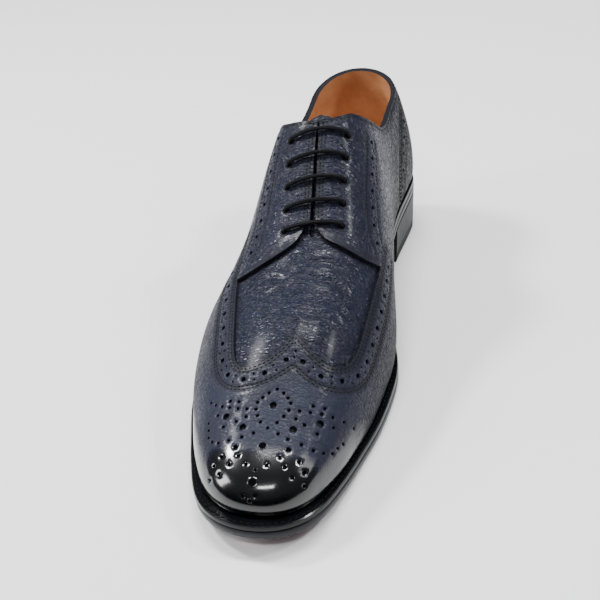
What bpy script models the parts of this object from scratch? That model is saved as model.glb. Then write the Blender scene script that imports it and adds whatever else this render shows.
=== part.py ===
# A wingtip derby for the right foot, standing empty on its sole.
# Metres, +Z up, toe toward -Y, medial side toward +X, origin on the floor under the middle of the shoe.
#
# The upper is worked out on a last: ribs run from the feather line, where upper and sole meet,
# to the ridge along the top of the foot. A place on it is (side, u, v): side +1 medial or -1 lateral,
# u from the back of the heel (0) to the tip of the toe (1), v from the feather line (0) to the ridge (1).

import math

import bmesh
import bpy
import numpy as np
from mathutils import Vector
from mathutils.geometry import delaunay_2d_cdt

# Driving sizes of the last and the sole
SOLE_LENGTH = 0.303
BALL_WIDTH = 0.0885
SEAT_WIDTH = 0.061
INSTEP_RISE = 0.085
TOE_BOX_RISE = 0.0255
HEEL_HEIGHT = 0.0275
TOE_SPRING = 0.0086
HEEL_LENGTH = 0.073
HEEL_TAPER = 0.0015
BREAST_HOLLOW = 0.004
TOP_PIECE = 0.006
OUTSOLE = 0.005
WELT = 0.003
INSOLE = 0.0035
SEAT_MARGIN = 0.0025
WAIST_MARGIN = 0.0010
BALL_MARGIN = 0.0047
TOE_MARGIN = 0.0079

# The upper, the panels on it and what fastens it
UPPER_WALL = 0.0016
PANEL = 0.0012
PANEL_LIFT = 0.0006
FIT_GAP = 0.0003
BACK_RISE = 0.062
ANKLE_RISE = 0.042
ANKLE_TILT = 0.0015
FACING_TOP = 0.1055
FACING_CORNER = 0.0985
CORNER_SLANT = 0.005
THROAT = 0.159
THROAT_GAP = 0.0028
TONGUE = 0.002
TONGUE_PROUD = 0.0055
TONGUE_HALF_WIDTH = 0.0245
TONGUE_TUCK = 0.010
EYELETS = 5
EYELET_TOP = 0.1102
EYELET_PITCH = 0.0110
EYELET_REACH = 0.0145
EYELET_SLANT = 0.0035
LACE_DIAMETER = 0.0022
LACE_BEND = 0.0018
LACE_LIFT = 0.0006
LACE_SPACING = 0.0032
HOLE_CLEARANCE = 0.0009

# The line under the sole: share of the sole's length, shares of the heel height and of the toe spring, slope
SOLE_LINE = dict(
    share=(0.00, 0.24, 0.635, 0.745, 1.00),
    heel=(1.00, 0.86, 0.00, 0.00, 0.00),
    spring=(0.00, 0.00, 0.00, 0.00, 1.00),
    slope=(-0.03, -0.10, 0.00, 0.00, 0.20),
)

# The feather line in plan: share of its length, centre and half widths as shares of the ball and seat widths
PLAN = dict(
    share=(0.00, 0.10, 0.22, 0.36, 0.48, 0.60, 0.68, 0.76, 0.84, 0.92, 1.00),
    centre=(0.000, 0.002, -0.012, -0.042, -0.055, -0.070, -0.066, -0.055, -0.040, -0.022, 0.000),
    seat=(0.500, 0.505, 0.475, 0.400, 0.220, 0.050, 0.000, 0.000, 0.000, 0.000, 0.000),
    ball=(0.000, 0.000, 0.000, 0.096, 0.294, 0.508, 0.532, 0.494, 0.427, 0.370, 0.370),
)

# The sole's margin beyond the feather line: share of its length, medial and lateral shares of the named margins
MARGIN = dict(
    share=(0.00, 0.20, 0.33, 0.50, 0.62, 0.75, 0.88, 1.00),
    seat=(1.0, 0.9, 0.0, 0.0, 0.0, 0.0, 0.0, 0.0),
    waist_medial=(0.0, 0.0, 1.0, 1.0, 0.0, 0.0, 0.0, 0.0),
    waist_lateral=(0.0, 0.2, 2.4, 2.8, 0.0, 0.0, 0.0, 0.0),
    ball=(0.00, 0.00, 0.00, 0.00, 0.93, 1.02, 0.95, 0.00),
    toe=(0.0, 0.0, 0.0, 0.0, 0.0, 0.0, 0.0, 1.0),
)

# The ridge: share of the length, centre as a share of the ball width, slope across it up toward the medial side,
# shares of the instep and toe box rises
RIDGE = dict(
    share=(0.090, 0.170, 0.260, 0.360, 0.530, 0.730, 0.885),
    centre=(-0.040, -0.040, -0.040, -0.040, 0.010, 0.040, 0.015),
    tilt=(0.00, 0.00, 0.06, 0.11, 0.10, 0.05, 0.00),
    instep=(1.17, 1.17, 1.12, 0.98, 0.72, 0.535, 0.00),
    toe=(0.0, 0.0, 0.0, 0.0, 0.0, 0.0, 1.0),
)

# Each rib's shape: share of the length, where its wall ends and how far that leans out as shares of its height,
# and how far the crown runs out as a share of its reach
SECTION = dict(
    share=(0.00, 0.12, 0.25, 0.40, 0.55, 0.70, 0.85, 1.00),
    rise=(0.38, 0.40, 0.42, 0.43, 0.48, 0.52, 0.62, 0.72),
    lean_medial=(0.08, 0.05, 0.03, 0.15, 0.14, 0.07, 0.04, 0.04),
    lean_lateral=(0.08, 0.05, 0.06, 0.12, 0.11, 0.12, 0.065, 0.04),
    crown_medial=(0.70, 0.26, 0.54, 0.72, 0.70, 0.63, 0.51, 0.45),
    crown_lateral=(0.70, 0.36, 0.90, 0.88, 0.71, 0.63, 0.51, 0.45),
)

# The topline from the back to the corner of the facing: share of the way, shares of the back and ankle rises
# above the feather line and of the corner's height there
TOPLINE = dict(
    share=(0.00, 0.20, 0.45, 0.70, 0.88, 1.00),
    back=(1.00, 0.91, 0.30, 0.00, 0.00, 0.00),
    ankle=(0.00, 0.03, 0.83, 1.31, 1.65, 1.91),
)

# Panel edges on the upper: share of the length, and girth from the ridge (0) to the feather line (1), on each side.
# The wing's edge runs from its peak on the ridge to the wing's end, the quarter's from the throat to the wing.
WING_EDGE = {
    1: dict(share=(0.729, 0.748, 0.764, 0.770, 0.756, 0.728, 0.685, 0.635, 0.580, 0.530, 0.470),
            girth=(0.000, 0.100, 0.220, 0.330, 0.440, 0.500, 0.500, 0.485, 0.490, 0.525, 0.580)),
    -1: dict(share=(0.729, 0.758, 0.782, 0.791, 0.786, 0.762, 0.715, 0.645, 0.595, 0.555, 0.470),
             girth=(0.000, 0.040, 0.120, 0.220, 0.290, 0.330, 0.345, 0.370, 0.400, 0.434, 0.500)),
}
QUARTER_EDGE = {
    1: dict(share=(0.523, 0.540, 0.547, 0.550, 0.546, 0.528, 0.505),
            girth=(0.035, 0.080, 0.155, 0.260, 0.390, 0.525, 0.620)),
    -1: dict(share=(0.523, 0.542, 0.557, 0.570, 0.581, 0.589, 0.590),
             girth=(0.035, 0.060, 0.105, 0.170, 0.245, 0.340, 0.450)),
}
COUNTER_EDGE = dict(
    share=(0.035, 0.080, 0.130, 0.175, 0.200, 0.210),
    height=(1.00, 0.86, 0.66, 0.42, 0.20, 0.00),
)

# How the last's ends close in plan, and where its ribs fan out from the ridge, as shares of the length
HEEL_ROUND = 0.105
TOE_ROUND = 0.155
TOE_SQUARENESS = 2.18
HEEL_TURN = 0.16
TOE_TURN = 0.84
FAN_BACK = 0.24
FAN_FRONT = 0.72

# Where the sole's margin begins, and the feather line's length
FEATHER_BACK = SEAT_MARGIN + FIT_GAP
FEATHER_LENGTH = SOLE_LENGTH - FEATHER_BACK - TOE_MARGIN


# Curves through a table's rows

def curve_with_slopes(xs, ys, slopes):
    xs, ys, slopes = (np.asarray(values, float) for values in (xs, ys, slopes))

    def at(x):
        x = np.asarray(x, float)
        k = np.clip(np.searchsorted(xs, x, side="right") - 1, 0, len(xs) - 2)
        step = xs[k + 1] - xs[k]
        q = (x - xs[k]) / step
        h = np.clip(q, 0.0, 1.0)
        value = ((2 * h**3 - 3 * h**2 + 1) * ys[k] + (h**3 - 2 * h**2 + h) * step * slopes[k]
                 + (3 * h**2 - 2 * h**3) * ys[k + 1] + (h**3 - h**2) * step * slopes[k + 1])
        return value + (q - h) * step * np.where(q > 1.0, slopes[k + 1], slopes[k])
    return at


def smooth_curve(xs, ys):
    xs, ys = np.asarray(xs, float), np.asarray(ys, float)
    count = len(xs)
    steps = np.diff(xs)
    rises = np.diff(ys) / steps
    matrix = np.zeros((count, count))
    right = np.zeros(count)
    matrix[0, :2] = 2, 1
    matrix[-1, -2:] = 1, 2
    right[0], right[-1] = 3 * rises[0], 3 * rises[-1]
    for k in range(1, count - 1):
        matrix[k, k - 1:k + 2] = steps[k], 2 * (steps[k - 1] + steps[k]), steps[k - 1]
        right[k] = 3 * (steps[k] * rises[k - 1] + steps[k - 1] * rises[k])
    return curve_with_slopes(xs, ys, np.linalg.solve(matrix, right))


def column(table, *parts):
    """A smooth curve over the table's shares: the sum of its named columns, each times a size."""
    total = sum(np.array(table[name]) * size for name, size in parts)
    return smooth_curve(table["share"], total)


sole_height = curve_with_slopes(
    np.array(SOLE_LINE["share"]) * SOLE_LENGTH,
    np.array(SOLE_LINE["heel"]) * HEEL_HEIGHT + np.array(SOLE_LINE["spring"]) * TOE_SPRING,
    SOLE_LINE["slope"])
plan_centre = column(PLAN, ("centre", BALL_WIDTH))
plan_half = column(PLAN, ("seat", SEAT_WIDTH), ("ball", BALL_WIDTH))
margins = ("seat", SEAT_MARGIN), ("ball", BALL_MARGIN), ("toe", TOE_MARGIN)
margin_medial = column(MARGIN, ("waist_medial", WAIST_MARGIN), *margins)
margin_lateral = column(MARGIN, ("waist_lateral", WAIST_MARGIN), *margins)
ridge_centre = column(RIDGE, ("centre", BALL_WIDTH))
ridge_tilt = column(RIDGE, ("tilt", 1.0))
ridge_rise = column(RIDGE, ("instep", INSTEP_RISE), ("toe", TOE_BOX_RISE))
rib_rise = column(SECTION, ("rise", 1.0))
rib_lean = {1: column(SECTION, ("lean_medial", 1.0)), -1: column(SECTION, ("lean_lateral", 1.0))}
rib_crown = {1: column(SECTION, ("crown_medial", 1.0)), -1: column(SECTION, ("crown_lateral", 1.0))}
topline_rise = column(TOPLINE, ("back", BACK_RISE), ("ankle", ANKLE_RISE))


# The last

def along(share):
    """Distance from the back of the sole to a share of the feather line's length."""
    return FEATHER_BACK + share * FEATHER_LENGTH


def share_at(distance):
    return (distance - FEATHER_BACK) / FEATHER_LENGTH


def feather_height(s):
    return sole_height(s) + OUTSOLE + WELT + 2 * FIT_GAP


def station(u):
    """Share of the length at u, and how far the outline has closed there: 1 open, 0 shut."""
    back = np.clip(1 - u / HEEL_TURN, 0, 1) * math.pi / 2
    front = np.clip((u - TOE_TURN) / (1 - TOE_TURN), 0, 1) * math.pi / 2
    power = 2 / TOE_SQUARENESS
    middle = np.clip((u - HEEL_TURN) / (TOE_TURN - HEEL_TURN), 0, 1)
    share = HEEL_ROUND + (1 - TOE_ROUND - HEEL_ROUND) * middle
    share = np.where(u < HEEL_TURN, HEEL_ROUND * (1 - np.sin(back)), share)
    share = np.where(u > TOE_TURN, 1 - TOE_ROUND + TOE_ROUND * np.sin(front)**power, share)
    return share, np.cos(back) * np.maximum(np.cos(front), 0.0)**power


def station_of(share):
    """The u at a share of the length."""
    share = np.asarray(share, float)
    middle = (share - HEEL_ROUND) / (1 - TOE_ROUND - HEEL_ROUND)
    u = HEEL_TURN + (TOE_TURN - HEEL_TURN) * middle
    back = np.arcsin(np.clip(1 - share / HEEL_ROUND, 0, 1)) / (math.pi / 2)
    front = np.clip((share - 1 + TOE_ROUND) / TOE_ROUND, 0, 1)**(TOE_SQUARENESS / 2)
    u = np.where(share < HEEL_ROUND, HEEL_TURN * (1 - back), u)
    return np.where(share > 1 - TOE_ROUND, TOE_TURN + (1 - TOE_TURN) * np.arcsin(front) / (math.pi / 2), u)


def ridge_share(share):
    """Where on the ridge a rib ends: straight across the foot, fanned out at heel and toe."""
    first, last = RIDGE["share"][0], RIDGE["share"][-1]
    back = np.clip((FAN_BACK - share) / FAN_BACK, 0, 1)
    front = np.clip((share - FAN_FRONT) / (1 - FAN_FRONT), 0, 1)
    back_end = FAN_BACK * (1 - back) + first * back * back
    front_end = FAN_FRONT + (1 - FAN_FRONT) * front * (1 - front) + (last - FAN_FRONT) * front * front
    return np.where(share < FAN_BACK, back_end, np.where(share > FAN_FRONT, front_end, share))


def ridge_height(share):
    return feather_height(along(share)) + ridge_rise(share)


def last_point(side, u, v):
    """The point (x, distance from the back, z) on the last."""
    side, u, v = np.broadcast_arrays(*(np.asarray(value, float) for value in (side, u, v)))
    share, closing = station(u)
    foot = np.stack([plan_centre(share) + side * plan_half(share) * closing,
                     along(share), feather_height(along(share))], -1)
    end = ridge_share(share)
    small = 1e-4
    slope = (ridge_height(end + small) - ridge_height(end - small)) / (2 * small * FEATHER_LENGTH)
    top = np.stack([ridge_centre(end), along(end), ridge_height(end)], -1)
    gap = top - foot
    reach = np.hypot(gap[..., 0], gap[..., 1])
    inward = gap[..., :2] / reach[..., None]
    height = gap[..., 2]
    lean = np.where(side > 0, rib_lean[1](share), rib_lean[-1](share)) * height
    wall_end = foot + np.stack([-inward[..., 0] * lean, -inward[..., 1] * lean, rib_rise(share) * height], -1)
    climb = inward[..., 1] * slope + inward[..., 0] * ridge_tilt(end)
    direction = np.stack([inward[..., 0], inward[..., 1], climb], -1)
    crown = np.where(side > 0, rib_crown[1](share), rib_crown[-1](share)) * reach
    crown_start = top - crown[..., None] * direction
    v = v[..., None]
    return ((1 - v)**3 * foot + 3 * (1 - v)**2 * v * wall_end
            + 3 * (1 - v) * v * v * crown_start + v**3 * top)


def wrapped(side, u, v):
    """The point at a place that may lie past the heel, the toe or the ridge, on the other side."""
    crossed = (u < 0) | (u > 1)
    side = np.where(crossed, -side, side)
    u = np.where(u < 0, -u, np.where(u > 1, 2 - u, u))
    side = np.where(v > 1, -side, side)
    return last_point(side, u, np.where(v > 1, 2 - v, v))


def last_normal(side, u, v):
    """The direction straight out of the last."""
    small = 1e-4

    def cross(v):
        by_u = wrapped(side, u + small, v) - wrapped(side, u - small, v)
        by_v = wrapped(side, u, v + small) - wrapped(side, u, v - small)
        return np.cross(by_u, by_v) * np.asarray(side, float)[..., None]
    normal = cross(v)
    size = np.linalg.norm(normal, axis=-1, keepdims=True)
    inner = cross(np.minimum(v, 0.97))
    normal = np.where(size > 1e-12, normal, inner)
    return normal / np.linalg.norm(normal, axis=-1, keepdims=True)


def on_last(side, u, v, offset=0.0):
    """World points at an offset out of the last: x, y and z with the toe toward -Y."""
    side, u, v = np.broadcast_arrays(*(np.asarray(value, float) for value in (side, u, v)))
    point = last_point(side, u, v) + last_normal(side, u, v) * np.asarray(offset, float)[..., None]
    return np.stack([point[..., 0], SOLE_LENGTH / 2 - point[..., 1], point[..., 2]], -1)


def solved_v(measure, count):
    """The v in 0..1, for each of count places, where a measure that grows with v crosses zero."""
    low, high = np.zeros(count), np.ones(count)
    for _ in range(40):
        middle = (low + high) / 2
        above = measure(middle) > 0
        high = np.where(above, middle, high)
        low = np.where(above, low, middle)
    return (low + high) / 2


def v_at_reach(side, share, reach):
    """The v on a rib across the foot at a level distance from the ridge."""
    u = station_of(share)

    def nearness(v):
        return reach - np.abs(last_point(side, u, v)[..., 0] - ridge_centre(ridge_share(share)))
    return solved_v(nearness, np.shape(share))


# The edge of the collar and of the throat, from the back of the heel to the throat's end

REAR_ROWS, FACING_ROWS, THROAT_ROWS = 12, 5, 7


def collar_edge(side):
    """Places (u, v) along one side's edge: the topline, the top of the facing, then down the throat."""
    corner = share_at(FACING_CORNER - side * CORNER_SLANT / 2)
    share = corner * np.linspace(0, 1, REAR_ROWS + 1)**1.3
    u = station_of(share)

    def above_topline(v):
        point = last_point(side, u, v)
        near = share / corner
        way = share_at(point[..., 1]) * ((1 - near) / share_at(FACING_CORNER) + near / corner)
        rise = topline_rise(way) + side * ANKLE_TILT * near
        return point[..., 2] - feather_height(point[..., 1]) - rise
    v = solved_v(above_topline, len(u))
    top = station_of(share_at(FACING_TOP))
    throat = np.linspace(share_at(FACING_TOP), share_at(THROAT), THROAT_ROWS + 1)
    way = np.linspace(0, 1, THROAT_ROWS + 1)
    half_gap = THROAT_GAP / 2 * (0.45 + 0.55 * way)
    throat_v = v_at_reach(side, throat, half_gap)
    facing = np.linspace(0, 1, FACING_ROWS + 1)[1:-1]
    facing_u = u[-1] + (top - u[-1]) * np.sin(facing * math.pi / 2)
    facing_v = v[-1] + (throat_v[0] - v[-1]) * facing
    return np.concatenate([u, facing_u, station_of(throat)]), np.concatenate([v, facing_v, throat_v])


# Meshes

def new_object(name, vertices, faces, material):
    mesh = bpy.data.meshes.new(name)
    mesh.from_pydata([tuple(point) for point in vertices], [], [tuple(face) for face in faces])
    work = bmesh.new()
    work.from_mesh(mesh)
    bmesh.ops.remove_doubles(work, verts=work.verts, dist=1e-6)
    bmesh.ops.dissolve_degenerate(work, edges=work.edges, dist=1e-7)
    bmesh.ops.triangulate(work, faces=work.faces)
    bmesh.ops.recalc_face_normals(work, faces=work.faces)
    work.to_mesh(mesh)
    work.free()
    mesh.shade_smooth()
    mesh.set_sharp_from_angle(angle=math.radians(38))
    mesh.materials.append(material)
    made = bpy.data.objects.new(name, mesh)
    bpy.context.collection.objects.link(made)
    return made


def material(name, colour, roughness):
    made = bpy.data.materials.new(name)
    made.use_nodes = True
    shader = made.node_tree.nodes["Principled BSDF"]
    shader.inputs["Base Color"].default_value = (*colour, 1.0)
    shader.inputs["Roughness"].default_value = roughness
    shader.inputs["Metallic"].default_value = 0.0
    made.diffuse_color = (*colour, 1.0)
    return made


def grid_faces(rows, columns, first=0):
    """Quads over a grid of vertices numbered row by row."""
    faces = []
    for i in range(rows - 1):
        for j in range(columns - 1):
            a = first + i * columns + j
            faces.append((a, a + 1, a + columns + 1, a + columns))
    return faces


GIRTH_ROWS = 10
TOE_ROWS = 14
SPREAD_ROWS = 3
FACING_FOOT_BACK = 0.008
FACING_FOOT_AHEAD = 0.010
THROAT_SPREAD = 0.008


def upper_side(side, offset):
    """One side of the upper as a grid of points, rows from the heel to the toe, columns up each rib."""
    rim_u, rim_v = collar_edge(side)
    closed_u = np.linspace(rim_u[-1], 1.0, TOE_ROWS + 1)[1:]
    top_u = np.concatenate([rim_u, closed_u])
    top_v = np.concatenate([rim_v, np.ones(TOE_ROWS)])
    corner, front, throat = REAR_ROWS, REAR_ROWS + FACING_ROWS, REAR_ROWS + FACING_ROWS + THROAT_ROWS
    rows = np.arange(len(top_u))
    # the ribs spread out below the short top edge of the facing
    back, ahead = corner - SPREAD_ROWS, front + SPREAD_ROWS
    keys = [0, back, corner, front, ahead, throat]
    stations = [top_u[0], top_u[back], station_of(share_at(FACING_CORNER - FACING_FOOT_BACK)),
                station_of(share_at(FACING_TOP + FACING_FOOT_AHEAD)), top_u[ahead] + THROAT_SPREAD, top_u[throat]]
    foot_u = np.interp(rows, keys, stations)
    foot_u = np.where(rows < back, top_u, np.where(rows > throat, top_u, foot_u))
    way = np.linspace(0, 1, GIRTH_ROWS + 1)[None, :]
    u = foot_u[:, None] + (top_u - foot_u)[:, None] * way
    v = top_v[:, None] * way
    return on_last(side, u, v, offset)


def make_upper(leather):
    sheets = {(side, offset): upper_side(side, offset)
              for side in (1, -1) for offset in (0.0, -UPPER_WALL)}
    rows, columns = sheets[1, 0.0].shape[:2]
    open_rows = REAR_ROWS + FACING_ROWS + THROAT_ROWS
    vertices, faces, first = [], [], {}
    for key, sheet in sheets.items():
        first[key] = len(vertices)
        vertices.extend(sheet.reshape(-1, 3))
        faces.extend(grid_faces(rows, columns, first[key]))
    for side in (1, -1):
        out, into = first[side, 0.0], first[side, -UPPER_WALL]
        for j, last_row in ((0, rows - 1), (columns - 1, open_rows + 1)):
            for i in range(last_row):
                a, b = i * columns + j, (i + 1) * columns + j
                faces.append((out + a, out + b, into + b, into + a))
    return new_object("upper", vertices, faces, leather)


# Panels: a region of the upper, cut out of the space between two larger forms of it

GIRTH_SCALE = 0.075
LENGTH_SCALE = 0.33
PANEL_FOOT = 0.012
PANEL_GAP = 2 * FIT_GAP

# How finely the panels are drawn: chart spacing along and across, and points along their edges
CLEAR_OF_LOOP = 0.55
WING_SPACING = (0.0074, 0.0072)
WING_EDGE_POINTS = 30
WING_END_POINTS = 6
WING_FOOT_POINTS = 26
WING_TOE_POINTS = 10
QUARTER_SPACING = (0.0085, 0.0050)
QUARTER_EDGE_POINTS = 16
QUARTER_FOOT_POINTS = 9
COUNTER_SPACING = (0.0058, 0.0065)
COUNTER_EDGE_POINTS = 10
COUNTER_FOOT_POINTS = 8
COUNTER_GAP = 3 * FIT_GAP
TONGUE_SPACING = (0.0062, 0.0062)
TONGUE_EDGE_POINTS = 11
TONGUE_END_POINTS = 7
TONGUE_TAPER = 0.12
CORNER_CLEARANCE = 0.006
FRONT_CLEARANCE = 0.004


def front_chart(a, b):
    """Over the ridge: a along, b across from the lateral to the medial feather line."""
    side = np.where(b < 0, -1.0, 1.0)
    return side, a / LENGTH_SCALE, 1 - np.abs(b) / GIRTH_SCALE


def back_chart(a, b):
    """Round the heel: a from the lateral side to the medial, b up from the feather line."""
    side = np.where(a < 0, -1.0, 1.0)
    return side, np.abs(a) / LENGTH_SCALE, b / GIRTH_SCALE


def inside_loop(points, loop):
    """Which points lie inside a closed loop."""
    x, y = points[:, 0], points[:, 1]
    inside = np.zeros(len(points), bool)
    for (x1, y1), (x2, y2) in zip(loop, np.roll(loop, -1, 0)):
        spans = (y1 > y) != (y2 > y)
        crossing = x1 + (y - y1) * (x2 - x1) / np.where(y2 == y1, 1.0, y2 - y1)
        inside ^= spans & (x < crossing)
    return inside


def distance_to_loop(points, loop):
    ends = np.roll(loop, -1, 0)
    span = ends - loop
    way = ((points[:, None] - loop) * span).sum(-1) / np.maximum((span * span).sum(-1), 1e-18)
    nearest = loop + np.clip(way, 0, 1)[..., None] * span
    return np.linalg.norm(points[:, None] - nearest, axis=-1).min(1)


def filled(loop, spacing):
    """Points and triangles that fill a closed loop on a chart."""
    low, high = loop.min(0), loop.max(0)
    grid = np.stack(np.meshgrid(np.arange(low[0], high[0], spacing[0]) + spacing[0] / 2,
                                np.arange(low[1], high[1], spacing[1]) + spacing[1] / 2), -1).reshape(-1, 2)
    if low[1] < 0 < high[1]:
        grid[:, 1] -= grid[np.abs(grid[:, 1]).argmin(), 1]
    grid = grid[inside_loop(grid, loop)]
    grid = grid[distance_to_loop(grid, loop) > CLEAR_OF_LOOP * min(spacing)]
    points = [Vector(p) for p in np.vstack([loop, grid])]
    edges = [(k, (k + 1) % len(loop)) for k in range(len(loop))]
    made = delaunay_2d_cdt(points, edges, [], 1, 1e-9)
    return np.array([tuple(p) for p in made[0]]), np.array(made[2])


def make_panel(name, chart, loop, spacing, inner, outer, finish):
    """A panel's solid: inner and outer are its offsets from the last, numbers or functions of side, u, v."""
    points, triangles = filled(np.asarray(loop), spacing)
    side, u, v = chart(points[:, 0], points[:, 1])
    v = np.maximum(v, PANEL_FOOT)
    sheets = [on_last(side, u, v, offset(side, u, v) if callable(offset) else np.full(len(u), offset))
              for offset in (inner, outer)]
    # places that meet at the toe or the heel become one vertex
    keys, welded = {}, np.zeros(len(points), int)
    for k, place in enumerate(on_last(side, u, v)):
        welded[k] = keys.setdefault(tuple(np.round(place, 6)), k)
    triangles = welded[triangles]
    count = len(points)
    edges = {}
    for a, b, c in triangles:
        for edge in ((a, b), (b, c), (c, a)):
            edges[tuple(sorted(edge))] = edges.get(tuple(sorted(edge)), 0) + 1
    faces = [tuple(t) for t in triangles] + [tuple(t + count)[::-1] for t in triangles]
    faces += [(a, b, b + count, a + count) for (a, b), uses in edges.items() if uses == 1]
    return new_object(name, np.vstack(sheets), faces, finish)


def edge_line(table, count):
    """Places (u, v) along a panel's edge, from its table of share and girth."""
    way = np.linspace(0, 1, len(table["share"]))
    fine = np.linspace(0, 1, count)
    share = smooth_curve(way, table["share"])(fine)
    girth = smooth_curve(way, table["girth"])(fine)
    return np.stack([station_of(share), 1 - np.clip(girth, 0.0, 1.0)], -1)


def spaced(ends, count):
    """Points on a straight run between two chart points, without its last one."""
    return np.linspace(ends[0], ends[1], count + 1)[:-1]


def make_wing_cap(leather):
    """The toe cap with its peak on the ridge and its wings along both sides as far as the waist."""
    loop = []

    def add(side, places):
        loop.extend((u * LENGTH_SCALE, side * (1 - v) * GIRTH_SCALE) for u, v in places)
    medial, lateral = edge_line(WING_EDGE[1], WING_EDGE_POINTS), edge_line(WING_EDGE[-1], WING_EDGE_POINTS)
    add(1, medial[:-1])
    add(1, spaced((medial[-1], (medial[-1, 0], 0.0)), WING_END_POINTS))
    add(1, spaced(((medial[-1, 0], 0.0), (1.0, 0.0)), WING_FOOT_POINTS))
    add(1, spaced(((1.0, 0.0), (1.0, 1.0)), WING_TOE_POINTS))
    add(-1, spaced(((1.0, 1.0), (1.0, 0.0)), WING_TOE_POINTS))
    add(-1, spaced(((1.0, 0.0), (lateral[-1, 0], 0.0)), WING_FOOT_POINTS))
    add(-1, spaced(((lateral[-1, 0], 0.0), lateral[-1]), WING_END_POINTS))
    add(-1, lateral[:0:-1])
    return make_panel("wing_cap", front_chart, loop, WING_SPACING, PANEL_LIFT, PANEL_LIFT + PANEL, leather)


def quarter_front(side):
    """The quarter's front edge from the throat to the wing, then back above the wing and down at its end."""
    wing = edge_line(WING_EDGE[side], 40)
    valley = wing[:, 0].argmax()
    wing = wing[valley:][::-1] + np.array([0.0, PANEL_GAP / GIRTH_SCALE])
    front = edge_line(QUARTER_EDGE[side], QUARTER_EDGE_POINTS)
    front = front[front[:, 1] > np.interp(front[:, 0], wing[:, 0], wing[:, 1]) + 0.02]
    meeting = (front[-1, 0], float(np.interp(front[-1, 0], wing[:, 0], wing[:, 1])))
    end = wing[0] - np.array([PANEL_GAP / LENGTH_SCALE, 0.0])
    above = [(u, v) for u, v in wing[::-1] if end[0] + 0.01 < u < meeting[0] - 0.01]
    down = list(spaced((end, (end[0], 0.0)), WING_END_POINTS)) + [(end[0], 0.0)]
    return [tuple(place) for place in front] + [meeting] + above + down


def counter_line(side):
    """The counter's front edge, from the topline down to the feather line, as (u, v)."""
    rim_u, rim_v = collar_edge(side)
    way = np.linspace(0, 1, len(COUNTER_EDGE["share"]))
    fine = np.linspace(0, 1, COUNTER_EDGE_POINTS)
    u = station_of(smooth_curve(way, COUNTER_EDGE["share"])(fine))
    height = smooth_curve(way, COUNTER_EDGE["height"])(fine)
    rim = np.interp(u[0], rim_u[:REAR_ROWS], rim_v[:REAR_ROWS])
    return np.stack([u, height * rim], -1)


def make_counter(leather):
    loop = []
    for side in (1, -1):
        rim_u, rim_v = collar_edge(side)
        line = counter_line(side)
        rim = [(u, v) for u, v in zip(rim_u, rim_v) if u < line[0, 0] - CORNER_CLEARANCE]
        foot = spaced(((line[-1, 0], 0.0), (0.0, 0.0)), COUNTER_FOOT_POINTS)
        part = [(side * u * LENGTH_SCALE, v * GIRTH_SCALE) for u, v in rim + list(line[:-1]) + list(foot)]
        loop += part if side > 0 else [(0.0, 0.0)] + part[1:][::-1]
    return make_panel("heel_counter", back_chart, loop, COUNTER_SPACING,
                      PANEL_LIFT, PANEL_LIFT + PANEL, leather)


def make_quarter(name, side, leather):
    """The facing and quarter, from the throat back to the counter."""
    rim_u, rim_v = collar_edge(side)
    line = counter_line(side) + np.array([COUNTER_GAP / LENGTH_SCALE, 0.0])
    front = quarter_front(side)
    last_u = front[0][0] - FRONT_CLEARANCE
    rim = [(u, v) for u, v in zip(rim_u, rim_v) if line[0, 0] + CORNER_CLEARANCE < u < last_u]
    places = rim + front + list(spaced((front[-1], line[-1]), QUARTER_FOOT_POINTS))[1:] + list(line[::-1])
    loop = [(u * LENGTH_SCALE, side * (1 - v) * GIRTH_SCALE) for u, v in places]
    return make_panel(name, front_chart, loop, QUARTER_SPACING, PANEL_LIFT, PANEL_LIFT + PANEL, leather)


# The tongue and the laces

LACE_RADIUS = LACE_DIAMETER / 2
LACE_OVER = PANEL_LIFT + PANEL + FIT_GAP + LACE_LIFT + LACE_RADIUS
LACE_UNDER = -(UPPER_WALL + FIT_GAP + LACE_LIFT + LACE_RADIUS)


def tongue_offset(side, u, v):
    """The tongue's top face: under the hidden runs of the lace, and close under the vamp at its front end."""
    share, _ = station(u)
    start, end = share_at(THROAT - 0.002), share_at(THROAT + TONGUE_TUCK)
    way = np.clip((share - start) / (end - start), 0, 1)
    way = way * way * (3 - 2 * way)
    deep = LACE_UNDER - LACE_RADIUS - LACE_LIFT - FIT_GAP
    shallow = -(UPPER_WALL + 2 * FIT_GAP)
    return deep + (shallow - deep) * way


def make_tongue(leather):
    top, bottom = share_at(FACING_TOP - TONGUE_PROUD), share_at(THROAT + TONGUE_TUCK)
    shares = np.linspace(top, bottom, TONGUE_EDGE_POINTS)
    loop = []
    for side, rows in ((1, shares), (-1, shares[::-1])):
        half = TONGUE_HALF_WIDTH * (1 - TONGUE_TAPER * (rows - top) / (bottom - top))
        v = v_at_reach(side, rows, half)
        loop += [(station_of(row) * LENGTH_SCALE, side * (1 - place) * GIRTH_SCALE) for row, place in zip(rows, v)]
        if side > 0:
            across = np.linspace(loop[-1][1], -loop[-1][1], TONGUE_END_POINTS)[1:-1]
            loop += [(loop[-1][0], place) for place in across]
    across = np.linspace(loop[-1][1], loop[0][1], TONGUE_END_POINTS)[1:-1]
    loop += [(loop[0][0], place) for place in across]

    def under(side, u, v):
        return tongue_offset(side, u, v) - TONGUE
    return make_panel("tongue", front_chart, loop, TONGUE_SPACING, under, tongue_offset, leather)


def eyelet_distance(k, side):
    """Distance from the back: the rows lie square to the ridge, so the medial holes are a little further back."""
    return EYELET_TOP + k * EYELET_PITCH - side * EYELET_SLANT / 2


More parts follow.
